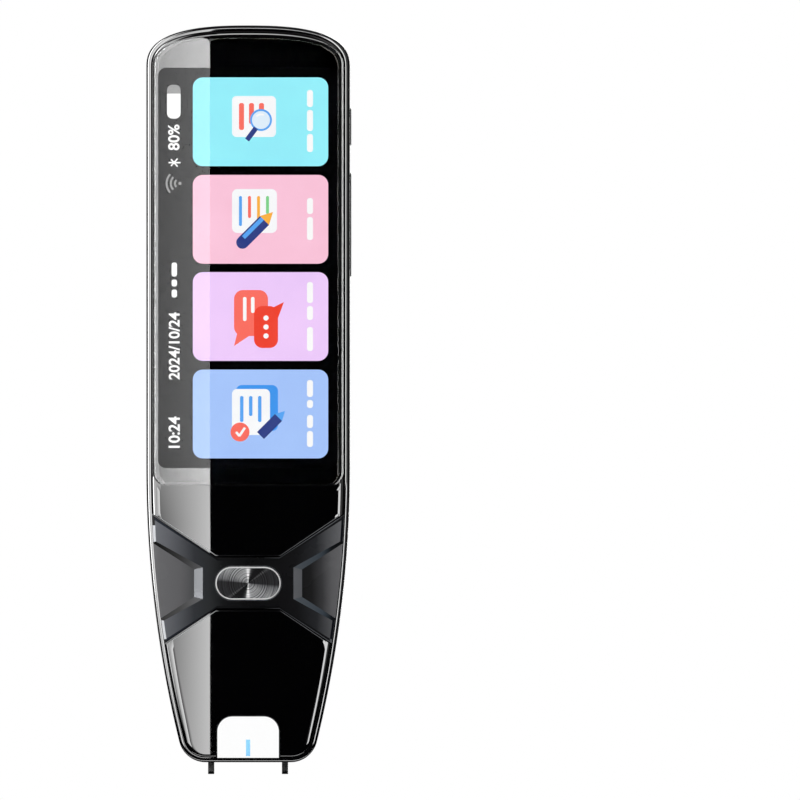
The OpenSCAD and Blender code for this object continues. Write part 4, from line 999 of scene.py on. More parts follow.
UI_COLOURS = {"white": "#ffffff", "grey": "#9a9a9a", "cyan": "#96f2ff", "pink": "#ffc7dd", "lilac": "#f0cdff",
              "blue": "#a7c7ff", "paper": "#fbfcff", "coral": "#ff6f61", "navy": "#2f3f86", "sky": "#58a6f5",
              "amber": "#ffb340", "glass": "#e3f2ff", "leaf": "#7ed38a", "red": "#f0432f", "azure": "#3f97f0"}
display_lights = []
for tone, parts in ui_parts.items():
    whole = bmesh.new()
    for part in parts:
        whole.from_mesh(part.data)
        remove(part)
    mesh = bpy.data.meshes.new("display_" + tone)
    whole.to_mesh(mesh)
    whole.free()
    display_lights.append(new_object("display_" + tone, mesh))
    glow("display_" + tone, UI_COLOURS[tone])
print("display:", len(display_lights), "colours")

# %% [markdown]
# ## The cross cover
# A satin cross with four arms that run out to the body's edge, and two bevelled pockets between
# them. Its ends follow the body's outline. A small bevel runs along every edge; the thin light
# lines on it, which make it read as a lacquered metal part, are painted highlight in the finishes
# its faces get further down.

# %% Cross cover
FACE = FRONT_Y - 0.3
CROSS_LEVELS = [(0.85, FACE), (0.4, FACE + 0.035), (0.24, FACE + 0.11), (0.2, FACE + 0.25)]
END_LEVELS = [(BEZEL_IN + 0.55, FACE - 0.001), (BEZEL_IN + 0.05, FACE + 0.13), (BEZEL_IN, FACE + 0.25),
              (BEZEL_IN, CROSS_BACK + 0.01)]
# start, half height and slope in degrees, then the depth at the hub and at the side
POCKET_RINGS = [(9.15, 3.23, 29.0, FACE - 0.02, FACE - 0.02), (10.98, 2.8, 32.6, FACE + 0.5, FACE + 0.18)]


def pocket_ring(start, half, slope, inner, outer, side):
    """One ring of a pocket's cutter; its depth runs from inner, at the hub, to outer, at the side."""
    reach = HALF_W + 1
    z = half + (reach - start) * math.tan(math.radians(slope))
    corners = ((start, inner, -half), (reach, outer, -z), (reach, outer, z), (start, inner, half))
    return [(side * x, y, h) for x, y, h in corners]


plans = dense([cross(inset) for inset, _ in CROSS_LEVELS])
cross_cover = solid([at_y(plan, y) for plan, (_, y) in zip(plans, CROSS_LEVELS)]
                    + [at_y(plans[-1], CROSS_BACK)], "cross_trim")
carve(cross_cover, loft(outline, END_LEVELS), how="INTERSECT")
for side in (-1, 1):
    carve(cross_cover, solid([pocket_ring(*ring, side) for ring in POCKET_RINGS]))
carve(cross_cover, loft(button_plan, [(-0.3, FACE - 0.1), (-GAP, FACE + 0.12), (-GAP, CROSS_BACK + 1)]))
smooth(cross_cover, angle=8)

# %% [markdown]
# ## The scan button
# A stadium of turned aluminium: a flat, very slightly hollow face and a bright chamfer cut with a
# diamond tool, whose white is partly painted highlight. The hollow is real geometry; the fan of
# light and dark wedges on the face is painted highlight and shade in its finish.

# %% Scan button
BUTTON_FACE = FACE - 0.15
FLANGE_IN, FLANGE_FRONT, FLANGE_BACK = -0.7, -4.8, -4.2
# the hollow face, its chamfer and the side, as insets and depths below the face
CAP = [(3.2, 0.05), (2.2, 0.045), (1.2, 0.025), (0.30, 0.0), (0.27, 0.0), (0.02, 0.22), (0.0, 0.27),
       (0.0, 2.0)]
scan_button = loft(lambda inset: button_plan(inset, 40),
                   [(inset, BUTTON_FACE + depth) for inset, depth in CAP]
                   + [(FLANGE_IN, FLANGE_FRONT), (FLANGE_IN, FLANGE_BACK)], "scan_button_cap")
carve(scan_button, prism(circle(0, 0, 1.0, 36), FLANGE_BACK - 0.1, FLANGE_BACK + 0.2), how="UNION")
smooth(scan_button, angle=25)

# %% [markdown]
# ## The back shell
# This is the part with the most form: a flat back that rolls into the sides, four recessed grip
# pads with bevelled edges that run over the flank, the seat of the speaker cover, the sloping seat
# of the scan window, and the notch with a slot for each trigger arm.

# %% Back shell
SLOT_IN, SLOT_OUT, SLOT_WALL, SLOT_TOP = 6.75, 8.38, 0.8, NOTCH_TOP + 0.6
SKIN = 0.3  # what stays between a lining and the back's surface
WINDOW_LOW, WINDOW_HALF, WINDOW_H, SLOPE = NOTCH_TOP + 0.35, 6.6, 9.3, math.radians(16.5)
WINDOW_Y = BACK_Y - SKIN - WINDOW_H * math.tan(SLOPE)
WINDOW_LENGTH = WINDOW_H / math.cos(SLOPE)


def sloped(low, high, name="tool"):
    """A box in the frame of the scan window: Z runs up its slope, Y stands off its face."""
    def place(x, y, z):
        return (x, WINDOW_Y + y * math.cos(SLOPE) + z * math.sin(SLOPE),
                WINDOW_LOW - y * math.sin(SLOPE) + z * math.cos(SLOPE))
    corners = box_points(low[0], low[1], high[0], high[1])
    return solid([[place(x, y, z) for x, y in corners] for z in (low[2], high[2])], name)


def slot_plan(side):
    x, r = side * (SLOT_IN + SLOT_OUT) / 2, (SLOT_OUT - SLOT_IN) / 2
    return [(x + r, TIP_Z - 2)] + arc(x, SLOT_TOP - r, r, 0, 180, 20) + [(x - r, TIP_Z - 2)]


back_shell = loft(outline, back_curve(WALL)[::-1]
                  + [(WALL, SEAM_Y), (SEAM_EDGE, SEAM_Y), (0, SEAM_Y + SEAM_EDGE)]
                  + back_curve(0)[1:] + [(EDGE_REACH + 0.6, BACK_Y)], "back_shell")
lining = prism(notch(0.5, TIP_Z - 1), SEAM_Y, BACK_Y - SKIN)
window_frame = block((-WINDOW_HALF - 0.03, WINDOW_Y - 1.8, WINDOW_LOW - 0.9),
                     (WINDOW_HALF + 0.03, BACK_Y - SKIN, WINDOW_LOW + WINDOW_H + 1.4))
carve(lining, window_frame, how="UNION")
for side in (-1, 1):
    x0, x1 = sorted((side * SLOT_OUT, side * (SLOT_OUT + SLOT_WALL)))
    carve(lining, block((x0, SEAM_Y, TIP_Z), (x1, BACK_Y - SKIN, SLOT_TOP + SLOT_WALL)), how="UNION")
carve(lining, back_solid(SKIN), how="INTERSECT")
carve(back_shell, lining, how="UNION")
print("back shell with its linings:", len(back_shell.data.polygons), "faces")

# %% Grip pads and the seat of the speaker cover
PAD_DEPTH, SEAT_DEPTH = 0.35, 0.8
PAD_LEVELS = [(1.4, PAD_DEPTH), (1.34, 0.33), (0.06, 0.012), (-0.05, -0.02)]
SEAT_LEVELS = [(0.0, SEAT_DEPTH), (0.0, 0.075), (-0.26, 0.0), (-0.33, -0.02)]


def pad_tool(z, side):
    tool = surface_prism(lambda inset: pad(z, inset, side), PAD_LEVELS, SEAM_Y + 1, BACK_Y + 1)
    return carve(tool, back_solid(PAD_DEPTH))


for z in PAD_ZS:
    for side in (1, -1):
        carve(back_shell, pad_tool(z, side))
seat = surface_prism(shield, SEAT_LEVELS, SEAM_Y + 2.2, BACK_Y + 1)
carve(back_shell, carve(seat, back_solid(SEAT_DEPTH)))
print("back shell with pads:", len(back_shell.data.polygons), "faces")

# %% Notch, slots, window seat and holes
GRILLE_Z, GRILLE_SEAT_R, EYE_HOLE_R, SEAT_FRONT = 94.8, 8.36, 3.8, 3.85
MIC_X, MIC_Y, MIC_R = -14.5, 2.3, 0.5
SCAN_HALF = 5.65  # half the width of the opening behind the scan window
carve(back_shell,
      prism(notch(0, TIP_Z - 2), SEAM_Y - 1, BACK_Y + 1),
      prism(slot_plan(1), SEAM_Y - 1, BACK_Y + 1),
      prism(slot_plan(-1), SEAM_Y - 1, BACK_Y + 1),
      sloped((-WINDOW_HALF - 0.05, -1, -0.05), (WINDOW_HALF + 0.05, 20, WINDOW_LENGTH + 0.05)),
      block((-SCAN_HALF, SEAM_Y - 1, WINDOW_LOW + 0.9), (SCAN_HALF, BACK_Y, WINDOW_LOW + WINDOW_H - 1)),
      prism(circle(0, GRILLE_Z, GRILLE_SEAT_R, 72), SEAT_FRONT, BACK_Y),
      prism(circle(0, CAMERA_Z, EYE_HOLE_R, 36), SEAT_FRONT, BACK_Y),
      port_opening(),
      prism_z(circle(MIC_X, MIC_Y, MIC_R, 32), TOP_Z - 5, TOP_Z + 3))
smooth(back_shell, angle=24)

# %% [markdown]
# ## The speaker cover and its grille
# Nineteen holes on a hexagonal grid, larger inside than on the outer ring, each with a small
# countersink that catches a crescent of light. A hexagon of holes is a sheared square grid with
# two corners cut off, which is quick to say in Geometry Nodes: make the grid, shear it, delete
# what lies outside, and put a cutter on every point. One Boolean then drills them all.

# %% Node-tree helpers
FLOAT, OBJECT, MATERIAL = "NodeSocketFloat", "NodeSocketObject", "NodeSocketMaterial"


def node_tree(name, sockets):
    """A geometry tree with its named inputs; returns the tree, what it is given and its result."""
    tree = bpy.data.node_groups.new(name, "GeometryNodeTree")
    tree.interface.new_socket("Geometry", in_out="OUTPUT", socket_type="NodeSocketGeometry")
    tree.interface.new_socket("Geometry", in_out="INPUT", socket_type="NodeSocketGeometry")
    for label, kind, value in sockets:
        socket = tree.interface.new_socket(label, in_out="INPUT", socket_type=kind)
        if value is not None:
            socket.default_value = value
    return tree, tree.nodes.new("NodeGroupInput").outputs, tree.nodes.new("NodeGroupOutput")


def end_tree(tree, given, result, instances):
    """Makes the instances real and gives them the tree's material."""
    real = add(tree, "GeometryNodeRealizeInstances", instances.outputs[0])
    painted = add(tree, "GeometryNodeSetMaterial", Geometry=real.outputs[0], Material=given["Material"])
    plug(tree, result, painted.outputs[0])


def grow_with(name, tree, values, points=((0, 0, 0),)):
    """An object of loose points whose tree grows on them, settled into a plain mesh."""
    mesh = bpy.data.meshes.new(name)
    mesh.from_pydata([tuple(c * MM for c in p) for p in points], [], [])
    piece = new_object(name, mesh)
    modifier = piece.modifiers.new("grow", "NODES")
    modifier.node_group = tree
    identifiers = {item.name: item.identifier for item in tree.interface.items_tree
                   if item.item_type == "SOCKET" and item.in_out == "INPUT"}
    for label, value in values.items():
        modifier[identifiers[label]] = value
    return settle(piece)


# %% Cutters of the grille
PITCH, INNER_R, OUTER_R = 3.13, 0.98, 0.7
tree, given, result = node_tree("grille_cutters", [
    ("Pitch", FLOAT, PITCH * MM), ("Inner radius", FLOAT, INNER_R * MM),
    ("Outer radius", FLOAT, OUTER_R * MM), ("Flare", FLOAT, 1.0), ("Depth", FLOAT, 4 * MM),
    ("Start", FLOAT, 4 * MM), ("Centre height", FLOAT, GRILLE_Z * MM), ("Material", MATERIAL, None)])


def greater(a, b):
    return add(tree, "FunctionNodeCompare", a, b, data_type="FLOAT", operation="GREATER_THAN").outputs[0]


grid = add(tree, "GeometryNodeMeshGrid", 4.0, 4.0, 5, 5)
column, row, _ = add(tree, "ShaderNodeSeparateXYZ", add(tree, "GeometryNodeInputPosition").outputs[0]).outputs
third = maths(tree, "ABSOLUTE", maths(tree, "ADD", column, row))
kept = add(tree, "GeometryNodeDeleteGeometry", domain="POINT", Geometry=grid.outputs[0],
           Selection=greater(third, 2.5))
farthest = maths(tree, "MAXIMUM", maths(tree, "ABSOLUTE", column), maths(tree, "ABSOLUTE", row))
ring_number = maths(tree, "MAXIMUM", farthest, third)
radius = add(tree, "GeometryNodeSwitch", greater(ring_number, 1.5), given["Inner radius"],
             given["Outer radius"], input_type="FLOAT")
stored = add(tree, "GeometryNodeStoreNamedAttribute", data_type="FLOAT", domain="POINT",
             Geometry=kept.outputs[0], Name="radius", Value=radius.outputs[0])
across = maths(tree, "MULTIPLY", maths(tree, "MULTIPLY_ADD", row, 0.5, column), given["Pitch"])
rows_up = maths(tree, "MULTIPLY", row, math.sqrt(0.75))
high = maths(tree, "MULTIPLY_ADD", rows_up, given["Pitch"], given["Centre height"])
place = add(tree, "ShaderNodeCombineXYZ", across, given["Start"], high)
moved = add(tree, "GeometryNodeSetPosition", Geometry=stored.outputs[0], Position=place.outputs[0])
drill = add(tree, "GeometryNodeMeshCone", Vertices=32, Radius_Top=given["Flare"], Radius_Bottom=1.0,
            Depth=given["Depth"])
read = add(tree, "GeometryNodeInputNamedAttribute", data_type="FLOAT", Name="radius").outputs[0]
size = add(tree, "ShaderNodeCombineXYZ", read, read, 1.0)
drills = add(tree, "GeometryNodeInstanceOnPoints", Points=moved.outputs[0], Instance=drill.outputs[0],
             Rotation=(-math.pi / 2, 0, 0), Scale=size.outputs[0])
end_tree(tree, given, result, drills)
grille_drills = grow_with("grille_drills", tree, {"Material": FINISHES["cover_grey"]})
grille_sinks = grow_with("grille_sinks", tree, {"Flare": 1.36, "Depth": 0.14 * MM, "Start": 6.25 * MM,
                                                "Material": FINISHES["cover_grey"]})
for tool in (grille_drills, grille_sinks):
    heights = [round(v.co.y / MM, 2) for v in tool.data.vertices]
    print(tool.name, len(tool.data.polygons), "faces, from", min(heights), "to", max(heights), "mm")

# %% Speaker cover
COVER_LEVELS = [(0.22, 0.9), (0.22, 0.12), (0.34, 0.0), (0.42, -0.08)]
EYE_W, EYE_H, EYE_R = 14.7, 9.7, 4.45


def pill(inset):
    """The outline of the rear camera's rim."""
    return round_box(EYE_W - 2 * inset, EYE_H - 2 * inset, EYE_R - inset, z=CAMERA_Z)


speaker_cover = surface_prism(shield, COVER_LEVELS, SEAM_Y + 2.2, BACK_Y + 1, "speaker_plate")
carve(speaker_cover, back_solid(0), how="INTERSECT")
carve(speaker_cover, back_solid(SEAT_DEPTH), grille_drills, grille_sinks,
      loft(pill, [(-0.05, 4.5), (-0.05, BACK_Y - 0.1), (-0.2, BACK_Y + 0.05)]))
smooth(speaker_cover, angle=24)

# %% [markdown]
# ## The rear camera
# A satin metal rim with a bright inner chamfer, a tinted pane just below it, a black mask with a
# round sight hole and, deeper, the coated lens. Each is a real piece at its real depth, so the
# lens shifts behind the pane as the view turns.

# %% Rear camera
DOME_R, DOME_Y, DOME_RISE = 2.15, 4.55, 0.55


def turned(profile, z, name="tool", sides=64):
    """A piece turned on an axis along Y: (radius, y) pairs from its back round to its front."""
    return loft(lambda r: circle(0, z, r, sides), profile, name)


camera_rim = loft(pill, [(0, 5.55), (0, 6.25), (0.08, 6.35), (0.17, 6.35), (0.36, 6.26), (0.45, 6.1),
                         (0.45, 5.55)], "eye_rim", loop=True)
smooth(camera_rim)
camera_pane = loft(pill, [(0.47, 5.72), (0.47, 6.14), (0.52, 6.19)], "eye_pane")
smooth(camera_pane)
camera_mask = loft(pill, [(0.47, 5.57), (0.47, 5.68)], "eye_mask")
carve(camera_mask, turned([(2.75, 5.0), (2.75, 5.6), (2.95, 5.75)], CAMERA_Z))
smooth(camera_mask)
lens_ring = turned([(3.3, 3.5), (3.3, 5.15), (3.2, 5.25), (2.6, 5.25), (2.2, 4.9), (2.2, 4.2)], CAMERA_Z,
                   "lens_ring")
carve(lens_ring, turned([(2.17, 3.0), (2.17, 5.5)], CAMERA_Z))
smooth(lens_ring)
dome = [(DOME_R * math.cos(t), DOME_Y + DOME_RISE * math.sin(t)) for t in quarter(14)[:-1]]
camera_lens = turned([(DOME_R, 4.26)] + dome + [(0.02, DOME_Y + DOME_RISE)], CAMERA_Z, "lens_dome")
smooth(camera_lens, angle=50)

# %% [markdown]
# ## Scan window, tip and trigger
# The tinted scan window lies on the slope above the notch. The arms of the trigger are rounded at
# their tops and at the feet that run over the paper, made as the shape that two profiles share.

# %% Scan window and trigger
scan_pane = sloped((-WINDOW_HALF, -1.0, 0.0), (WINDOW_HALF, 0.0, WINDOW_LENGTH), "scan_pane")
smooth(scan_pane, bevel=0.12)
ARM_IN, ARM_OUT, ARM_TOP, BAR_TOP = 6.87, 8.14, -28.3, -16.5
ARM_FRONT, ARM_BACK, BAR_FRONT = 1.7, 5.0, -1.75
FOOT_R, FOOT_Z = 0.6, -38.2
SPRING_X, SPRING_Y, SPRING_END = 7.505, -0.4, -11.5


def trigger_arm(side):
    """One arm with its foot, the leg that runs up inside the pen and the peg for its spring."""
    x0, x1 = sorted((side * ARM_IN, side * ARM_OUT))
    r = (ARM_OUT - ARM_IN) / 2
    plan = [(x1, -40)] + arc((x0 + x1) / 2, ARM_TOP - r, r, 0, 180, 20) + [(x0, -40)]
    arm = prism(plan, ARM_FRONT, ARM_BACK)
    foot = (arc(ARM_FRONT + FOOT_R, FOOT_Z, FOOT_R, 180, 270, 8)
            + arc(ARM_BACK - FOOT_R, FOOT_Z, FOOT_R, 270, 360, 8) + [(ARM_BACK, -20), (ARM_FRONT, -20)])
    carve(arm, prism_x(foot, x0 - 1, x1 + 1), how="INTERSECT")
    smooth(arm, bevel=0.09, bevel_angle=50)
    leg = block((x0, BAR_FRONT, ARM_TOP - 3), (x1, 2.6, BAR_TOP))
    peg = prism_z(circle(side * SPRING_X, SPRING_Y, 0.45, 32), BAR_TOP - 0.02, BAR_TOP + 1.38)
    return carve(arm, leg, peg, how="UNION")


trigger = carve(trigger_arm(-1), trigger_arm(1), how="UNION")
carve(trigger, block((-ARM_OUT, BAR_FRONT, BAR_TOP - 1.5), (ARM_OUT, -0.65, BAR_TOP)), how="UNION")
trigger.name = "trigger_slide"
smooth(trigger, angle=35)

# %% [markdown]
# ## Side keys
# Each key is a cap that stands a little out of the wall, with a crowned edge, a flange that keeps
# it in and stems that reach its switches. One loft along X makes the cap and flange together.

# %% Side keys
KEY_FACE, CROWN, FLANGE, FLANGE_T = HALF_W + 0.3, 0.16, 0.3, 0.75
STEM_R, STEM_IN = 0.6, 17.96


def side_key(name, length, flange_x, stems, z0):
    def ring(grow, x):
        return [(x, KEY_Y + b, z0 + a) for a, b in stadium(length + 2 * grow, KEY_WIDTH + 2 * grow)]
    crown = [ring(-CROWN * (1 - math.cos(t)), KEY_FACE - CROWN * (1 - math.sin(t))) for t in quarter(6)]
    key = solid([ring(FLANGE, flange_x), ring(FLANGE, flange_x + FLANGE_T), ring(0, flange_x + FLANGE_T)]
                + crown + [ring(-0.5, KEY_FACE)], name)
    for z in stems:
        carve(key, prism_x(circle(KEY_Y, z0 + z, STEM_R, 24), STEM_IN, flange_x + 0.1), how="UNION")
    return smooth(key)


power_key = side_key("power_key", POWER_LENGTH, 18.33, [0], POWER_Z)
volume_key = side_key("volume_key", VOLUME_LENGTH, 18.008, [-7.95, 7.95], VOLUME_Z)

# %% [markdown]
# ## Springs and screws
# A coil spring is a circle swept along a spiral, and screws are one shape repeated on points, so
# both grow in Geometry Nodes. Their trees take the sizes by name and end in real geometry.

# %% Springs
tree, given, result = node_tree("coil_springs", [
    ("Turns", FLOAT, 5.0), ("Coil radius", FLOAT, 1.0 * MM), ("Wire radius", FLOAT, 0.15 * MM),
    ("Height", FLOAT, 4.6 * MM), ("Material", MATERIAL, None)])
spiral = add(tree, "GeometryNodeCurveSpiral", Resolution=28, Rotations=given["Turns"], Height=given["Height"],
             Start_Radius=given["Coil radius"], End_Radius=given["Coil radius"])
wire = add(tree, "GeometryNodeCurvePrimitiveCircle", mode="RADIUS", Resolution=10,
           Radius=given["Wire radius"])
swept = add(tree, "GeometryNodeCurveToMesh", Curve=spiral.outputs[0], Profile_Curve=wire.outputs[0],
            Fill_Caps=True)
coils = add(tree, "GeometryNodeInstanceOnPoints", Points=given[0], Instance=swept.outputs[0])
end_tree(tree, given, result, coils)
springs = grow_with("coil_springs", tree, {"Turns": 5.0, "Material": FINISHES["spring_steel"]},
                    [(side * SPRING_X, SPRING_Y, BAR_TOP + 0.2) for side in (-1, 1)])
smooth(springs)

# %% Screws
HEAD_T, SHANK_R = 0.6, 0.7
HOUSING_PLACES = [(-9.2, 4.9, 104.5), (9.2, 4.9, 104.5)]
LOWER_PLACES = [(-13.6, DECK_FRONT, 0), (13.6, DECK_FRONT, 0)]
BOARD_PLACES = [(-13.0, -0.1, 66.5), (12.26, -0.1, 66.5), (-13.0, -0.1, 99.5)]


def screw_shape(head_r, length):
    """A pan-head screw along Y with a cross recess, its head's underside at the origin, head to +Y."""
    shank = [(SHANK_R * 0.5, -length), (SHANK_R, -length + 0.3), (SHANK_R, 0)]
    head = [(head_r, 0), (head_r, HEAD_T * 0.6), (head_r * 0.86, HEAD_T * 0.9), (head_r * 0.6, HEAD_T)]
    screw = turned(shank + head, 0, "screw", 32)
    w, a = head_r * 0.14, head_r * 0.5
    half_plus = [(w, -a), (w, -w), (a, -w), (a, w), (w, w), (w, a)]
    plus = half_plus + [(-x, -z) for x, z in half_plus]
    carve(screw, loft(lambda share: [(x * share, z * share) for x, z in plus],
                      [(0.5, HEAD_T * 0.45), (1, HEAD_T + 0.05)]))
    return smooth(screw)


def place_screws(name, screw, points, material):
    tree, given, result = node_tree(name, [("Screw", OBJECT, None), ("Material", MATERIAL, None)])
    shape = add(tree, "GeometryNodeObjectInfo", Object=given["Screw"]).outputs["Geometry"]
    end_tree(tree, given, result, add(tree, "GeometryNodeInstanceOnPoints", Points=given[0], Instance=shape))
    made = grow_with(name, tree, {"Screw": screw, "Material": FINISHES[material]}, points)
    remove(screw)
    return smooth(made)


def node_size(node):
    low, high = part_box(node)
    return [round(v / MM, 2) for v in (*low, *high)]


print("housing screws", node_size("housing_screws"), "board screws", node_size("board_screws"))
housing_screws = place_screws("housing_screw_set", screw_shape(1.3, 5.6), HOUSING_PLACES, "screw_black")
front_screw = screw_shape(1.3, 6.0)
front_screw.data.flip_normals()
for vertex in front_screw.data.vertices:
    vertex.co.y = -vertex.co.y
low_screws = place_screws("lower_screw_set", front_screw, LOWER_PLACES, "screw_black")
board_screws = place_screws("board_screw_set", screw_shape(1.2, 1.6), BOARD_PLACES, "screw_steel")

# %% [markdown]
# ## Riding on the frame
# Every piece is given its finish and tied to the body that moves it, and the node of the frame it
# stands for is hidden. Pieces of the frame that keep their own shape only change their finish.

# %% Dress the frame
def dress(piece, slot, node=None, body="body", material=None):
    """The finish is the slot's own, unless another one is named."""
    piece.data.materials.clear()
    piece.data.materials.append(FINISHES[material or slot])
    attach(piece, body)
    if node:
        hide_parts(node)


dress(front_shell, "housing_black", "front_housing")
dress(back_shell, "back_grey", "back_housing")
dress(glossy_front, "bezel_gloss", "front_bezel")
dress(cover_glass, "cover_glass", "cover_glass")
dress(ink, "tape_black", "glass_tape")
dress(screen, "display_dark", "display_panel")
for piece in display_lights:
    dress(piece, "display_dark", material=piece.name)
dress(cross_cover, "cover_satin", "cross_cover")
dress(scan_button, "button_metal", "scan_button", "scan_button")
dress(speaker_cover, "cover_grey", "speaker_cover")
dress(camera_rim, "rim_metal", "camera_rim")
dress(camera_pane, "tinted_window", "camera_window", material="window_tint")
dress(camera_mask, "tinted_window")
dress(lens_ring, "camera_body")
dress(camera_lens, "lens_blue", "rear_camera_lens")
dress(scan_pane, "tinted_window", "scan_window")
dress(trigger, "trigger_black", "tip_trigger", "tip_trigger")
dress(power_key, "key_grey", "power_button", "power_button")
dress(volume_key, "key_grey", "volume_rocker", "volume_rocker")
dress(springs, "spring_steel", "trigger_springs")
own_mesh(springs)
dress(housing_screws, "screw_black", "housing_screws")
dress(low_screws, "screw_black")
dress(board_screws, "screw_steel", "board_screws")

slots = {entry["node"]: entry["material_slot"] for entry in frame["record"]["subparts"]}
for name, node in NODES.items():
    for place in node.material_slots:
        place.material = FINISHES.get(slots.get(name), place.material)
print("slots by node:", len(slots), "without a finish:", sorted(n for n in slots if slots[n] not in FINISHES))

# %% [markdown]
# ## A second finish on some faces
# The slopes of the cross, the line round it and the button's chamfer are faces of one piece with
# a finish of their own; on the cross and along its seat these finishes are painted highlight and
# shade, graded across the pen, and the chamfer's white is partly painted highlight. Where a face
# lies and which way it looks say what it is: straight to the front its normal's Y is -1.

# %% Faces with their own finish
FLAT = -0.985
BEVEL, SLOPES, POCKET, ENDS, SHADE, LINE = range(1, 7)
for name in ("cover_bevel", "pocket_slope", "pocket_satin", "cover_end", "cover_shade", "cover_line"):
    cross_cover.data.materials.append(FINISHES[name])
# every slot but the flat face takes a finish of painted highlight and shade
for face in cross_cover.data.polygons:
    (x, y, z), facing_y = face.center / MM, face.normal.y
    tilted = FLAT < facing_y < -0.5
    if from_cross(x, z) < CROSS_LEVELS[0][0] and -0.9995 < facing_y < -0.3:
        face.material_index = LINE if tilted else SHADE
    elif tilted and inset_at(x, z) < 1.8:
        face.material_index = ENDS
    elif tilted:
        face.material_index = BEVEL if abs(face.normal.x) > abs(face.normal.z) else SLOPES
    elif facing_y < FLAT and y > FACE + 0.1:
        face.material_index = POCKET
# the seat's narrow faces beside the cross take the painted highlight
glossy_front.data.materials.append(FINISHES["seat_line"])
for face in glossy_front.data.polygons:
    x, _, z = face.center / MM
    if -0.4 < from_cross(x, z) < 0 and abs(x) < 18.5 and -0.995 < face.normal.y < -0.9:
        face.material_index = 1
# the chamfer faces take the white finish, partly painted highlight
scan_button.data.materials.append(FINISHES["button_edge"])
for face in scan_button.data.polygons:
    if abs(face.normal.y) < 0.97 and face.center.y < (BUTTON_FACE + 0.3) * MM:
        face.material_index = 1
print("the cross has", len(cross_cover.data.materials), "finishes")

# %% [markdown]
# ## Light and ground
# A plain studio: a pale floor, a white background and large soft lamps. Gloss black shows whatever
# stands round it, so the shine is set apart from the light: reflections see a dark room with a few
# tall soft strips, which draw the thin lines along the rim, the glass and the back. The strips are
# written once, as a node group on a direction, and used both for the world and for the floor, so
# a reflection runs on without a break where the floor begins.

# %% Strips of the studio
ROOM, AMBIENT = 0.04, 0.42
# angle from the front (-Y) towards +X in degrees, half width, softness, level
STRIPS = [(-30.5, 3.6, 1.0, 6.0), (-17.0, 6.5, 1.5, 4.0), (22.0, 8.5, 1.5, 0.3), (-74.0, 13.0, 3.0, 0.3),
          (-140.0, 11.0, 6.0, 2.4), (90.0, 7.0, 4.0, 0.5), (-90.0, 7.0, 4.0, 0.5)]


def vector_maths(tree, operation, *values):
    return add(tree, "ShaderNodeVectorMath", *values, operation=operation).outputs


def facing(tree, direction, target, half, soft, level):
    """A soft-edged patch of light round a target direction; half and soft are degrees."""
    dot = vector_maths(tree, "DOT_PRODUCT", direction, Vector(target).normalized())["Value"]
    start, end = math.cos(math.radians(half + soft)), math.cos(math.radians(max(half - soft, 0.1)))
    return spread_value(tree, dot, 0.0, level, start, end, "SMOOTHSTEP")


strips = bpy.data.node_groups.new("studio_strips", "ShaderNodeTree")
strips.interface.new_socket("Direction", in_out="INPUT", socket_type="NodeSocketVector")
strips.interface.new_socket("Level", in_out="OUTPUT", socket_type=FLOAT)
given, result = strips.nodes.new("NodeGroupInput").outputs, strips.nodes.new("NodeGroupOutput")
level_way = vector_maths(strips, "MULTIPLY", given[0], (1, 1, 0))[0]
level_way = vector_maths(strips, "NORMALIZE", level_way)[0]
bands = []
for angle, half, soft, level in STRIPS:
    target = (math.sin(math.radians(angle)), -math.cos(math.radians(angle)), 0)
    bands.append(facing(strips, level_way, target, half, soft, level))
dark = facing(strips, level_way, (0, -1, 0), 40, 12, ROOM)
total = bands[0]
for band in bands[1:] + [maths(strips, "SUBTRACT", ROOM, dark)]:
    total = maths(strips, "ADD", total, band)
plug(strips, result, total)
print("strips:", len(STRIPS), "in", len(strips.nodes), "nodes")

# %% World
def ray_kinds(tree):
    """1 for what the camera sees itself, and 1 for what is mirrored or seen through something."""
    rays = add(tree, "ShaderNodeLightPath").outputs
    return rays["Is Camera Ray"], maths(tree, "MAXIMUM", rays["Is Glossy Ray"], rays["Is Transmission Ray"])


world = bpy.data.worlds.new("studio")
bpy.context.scene.world = world
world.use_nodes = True
tree = world.node_tree
way = add(tree, "ShaderNodeTexCoord").outputs["Generated"]
straight, mirrored = ray_kinds(tree)
height = add(tree, "ShaderNodeSeparateXYZ", way).outputs[2]
walls = add(tree, "ShaderNodeGroup", way, node_tree=strips).outputs[0]
fade = spread_value(tree, height, 1.0, 0.0, 0.5, 0.8, "SMOOTHSTEP")  # the strips end towards the top
sky = spread_value(tree, height, 0.0, 0.1, 0.25, 0.9, "SMOOTHSTEP")  # and a faint light begins there
shine = maths(tree, "ADD", maths(tree, "MULTIPLY", walls, fade), sky)
strength = blend(tree, straight, blend(tree, mirrored, AMBIENT, shine), 1.0)
plug(tree, tree.nodes["Background"], Color=(1, 1, 1, 1), Strength=strength)
world.cycles.sampling_method = "NONE"
print("world nodes:", len(tree.nodes))

# %% Lamps
LAMP_AIM = (0, 0, 38)


def soft_light(name, place_mm, width, height, level, shines=False):
    """An area light as bright as level, where 1 is white; one that shines shows in gloss only."""
    data = bpy.data.lights.new(name, "AREA")
    data.shape, data.size, data.size_y = "RECTANGLE", width * MM, height * MM
    data.energy = level * math.pi * width * height * MM * MM
    lamp = new_object(name, data)
    lamp.location = Vector(place_mm) * MM
    direction = (Vector(LAMP_AIM) - Vector(place_mm)).normalized()
    lamp.rotation_euler = direction.to_track_quat("-Z", "Y").to_euler()
    lamp.visible_camera, lamp.visible_glossy, lamp.visible_diffuse = False, shines, not shines


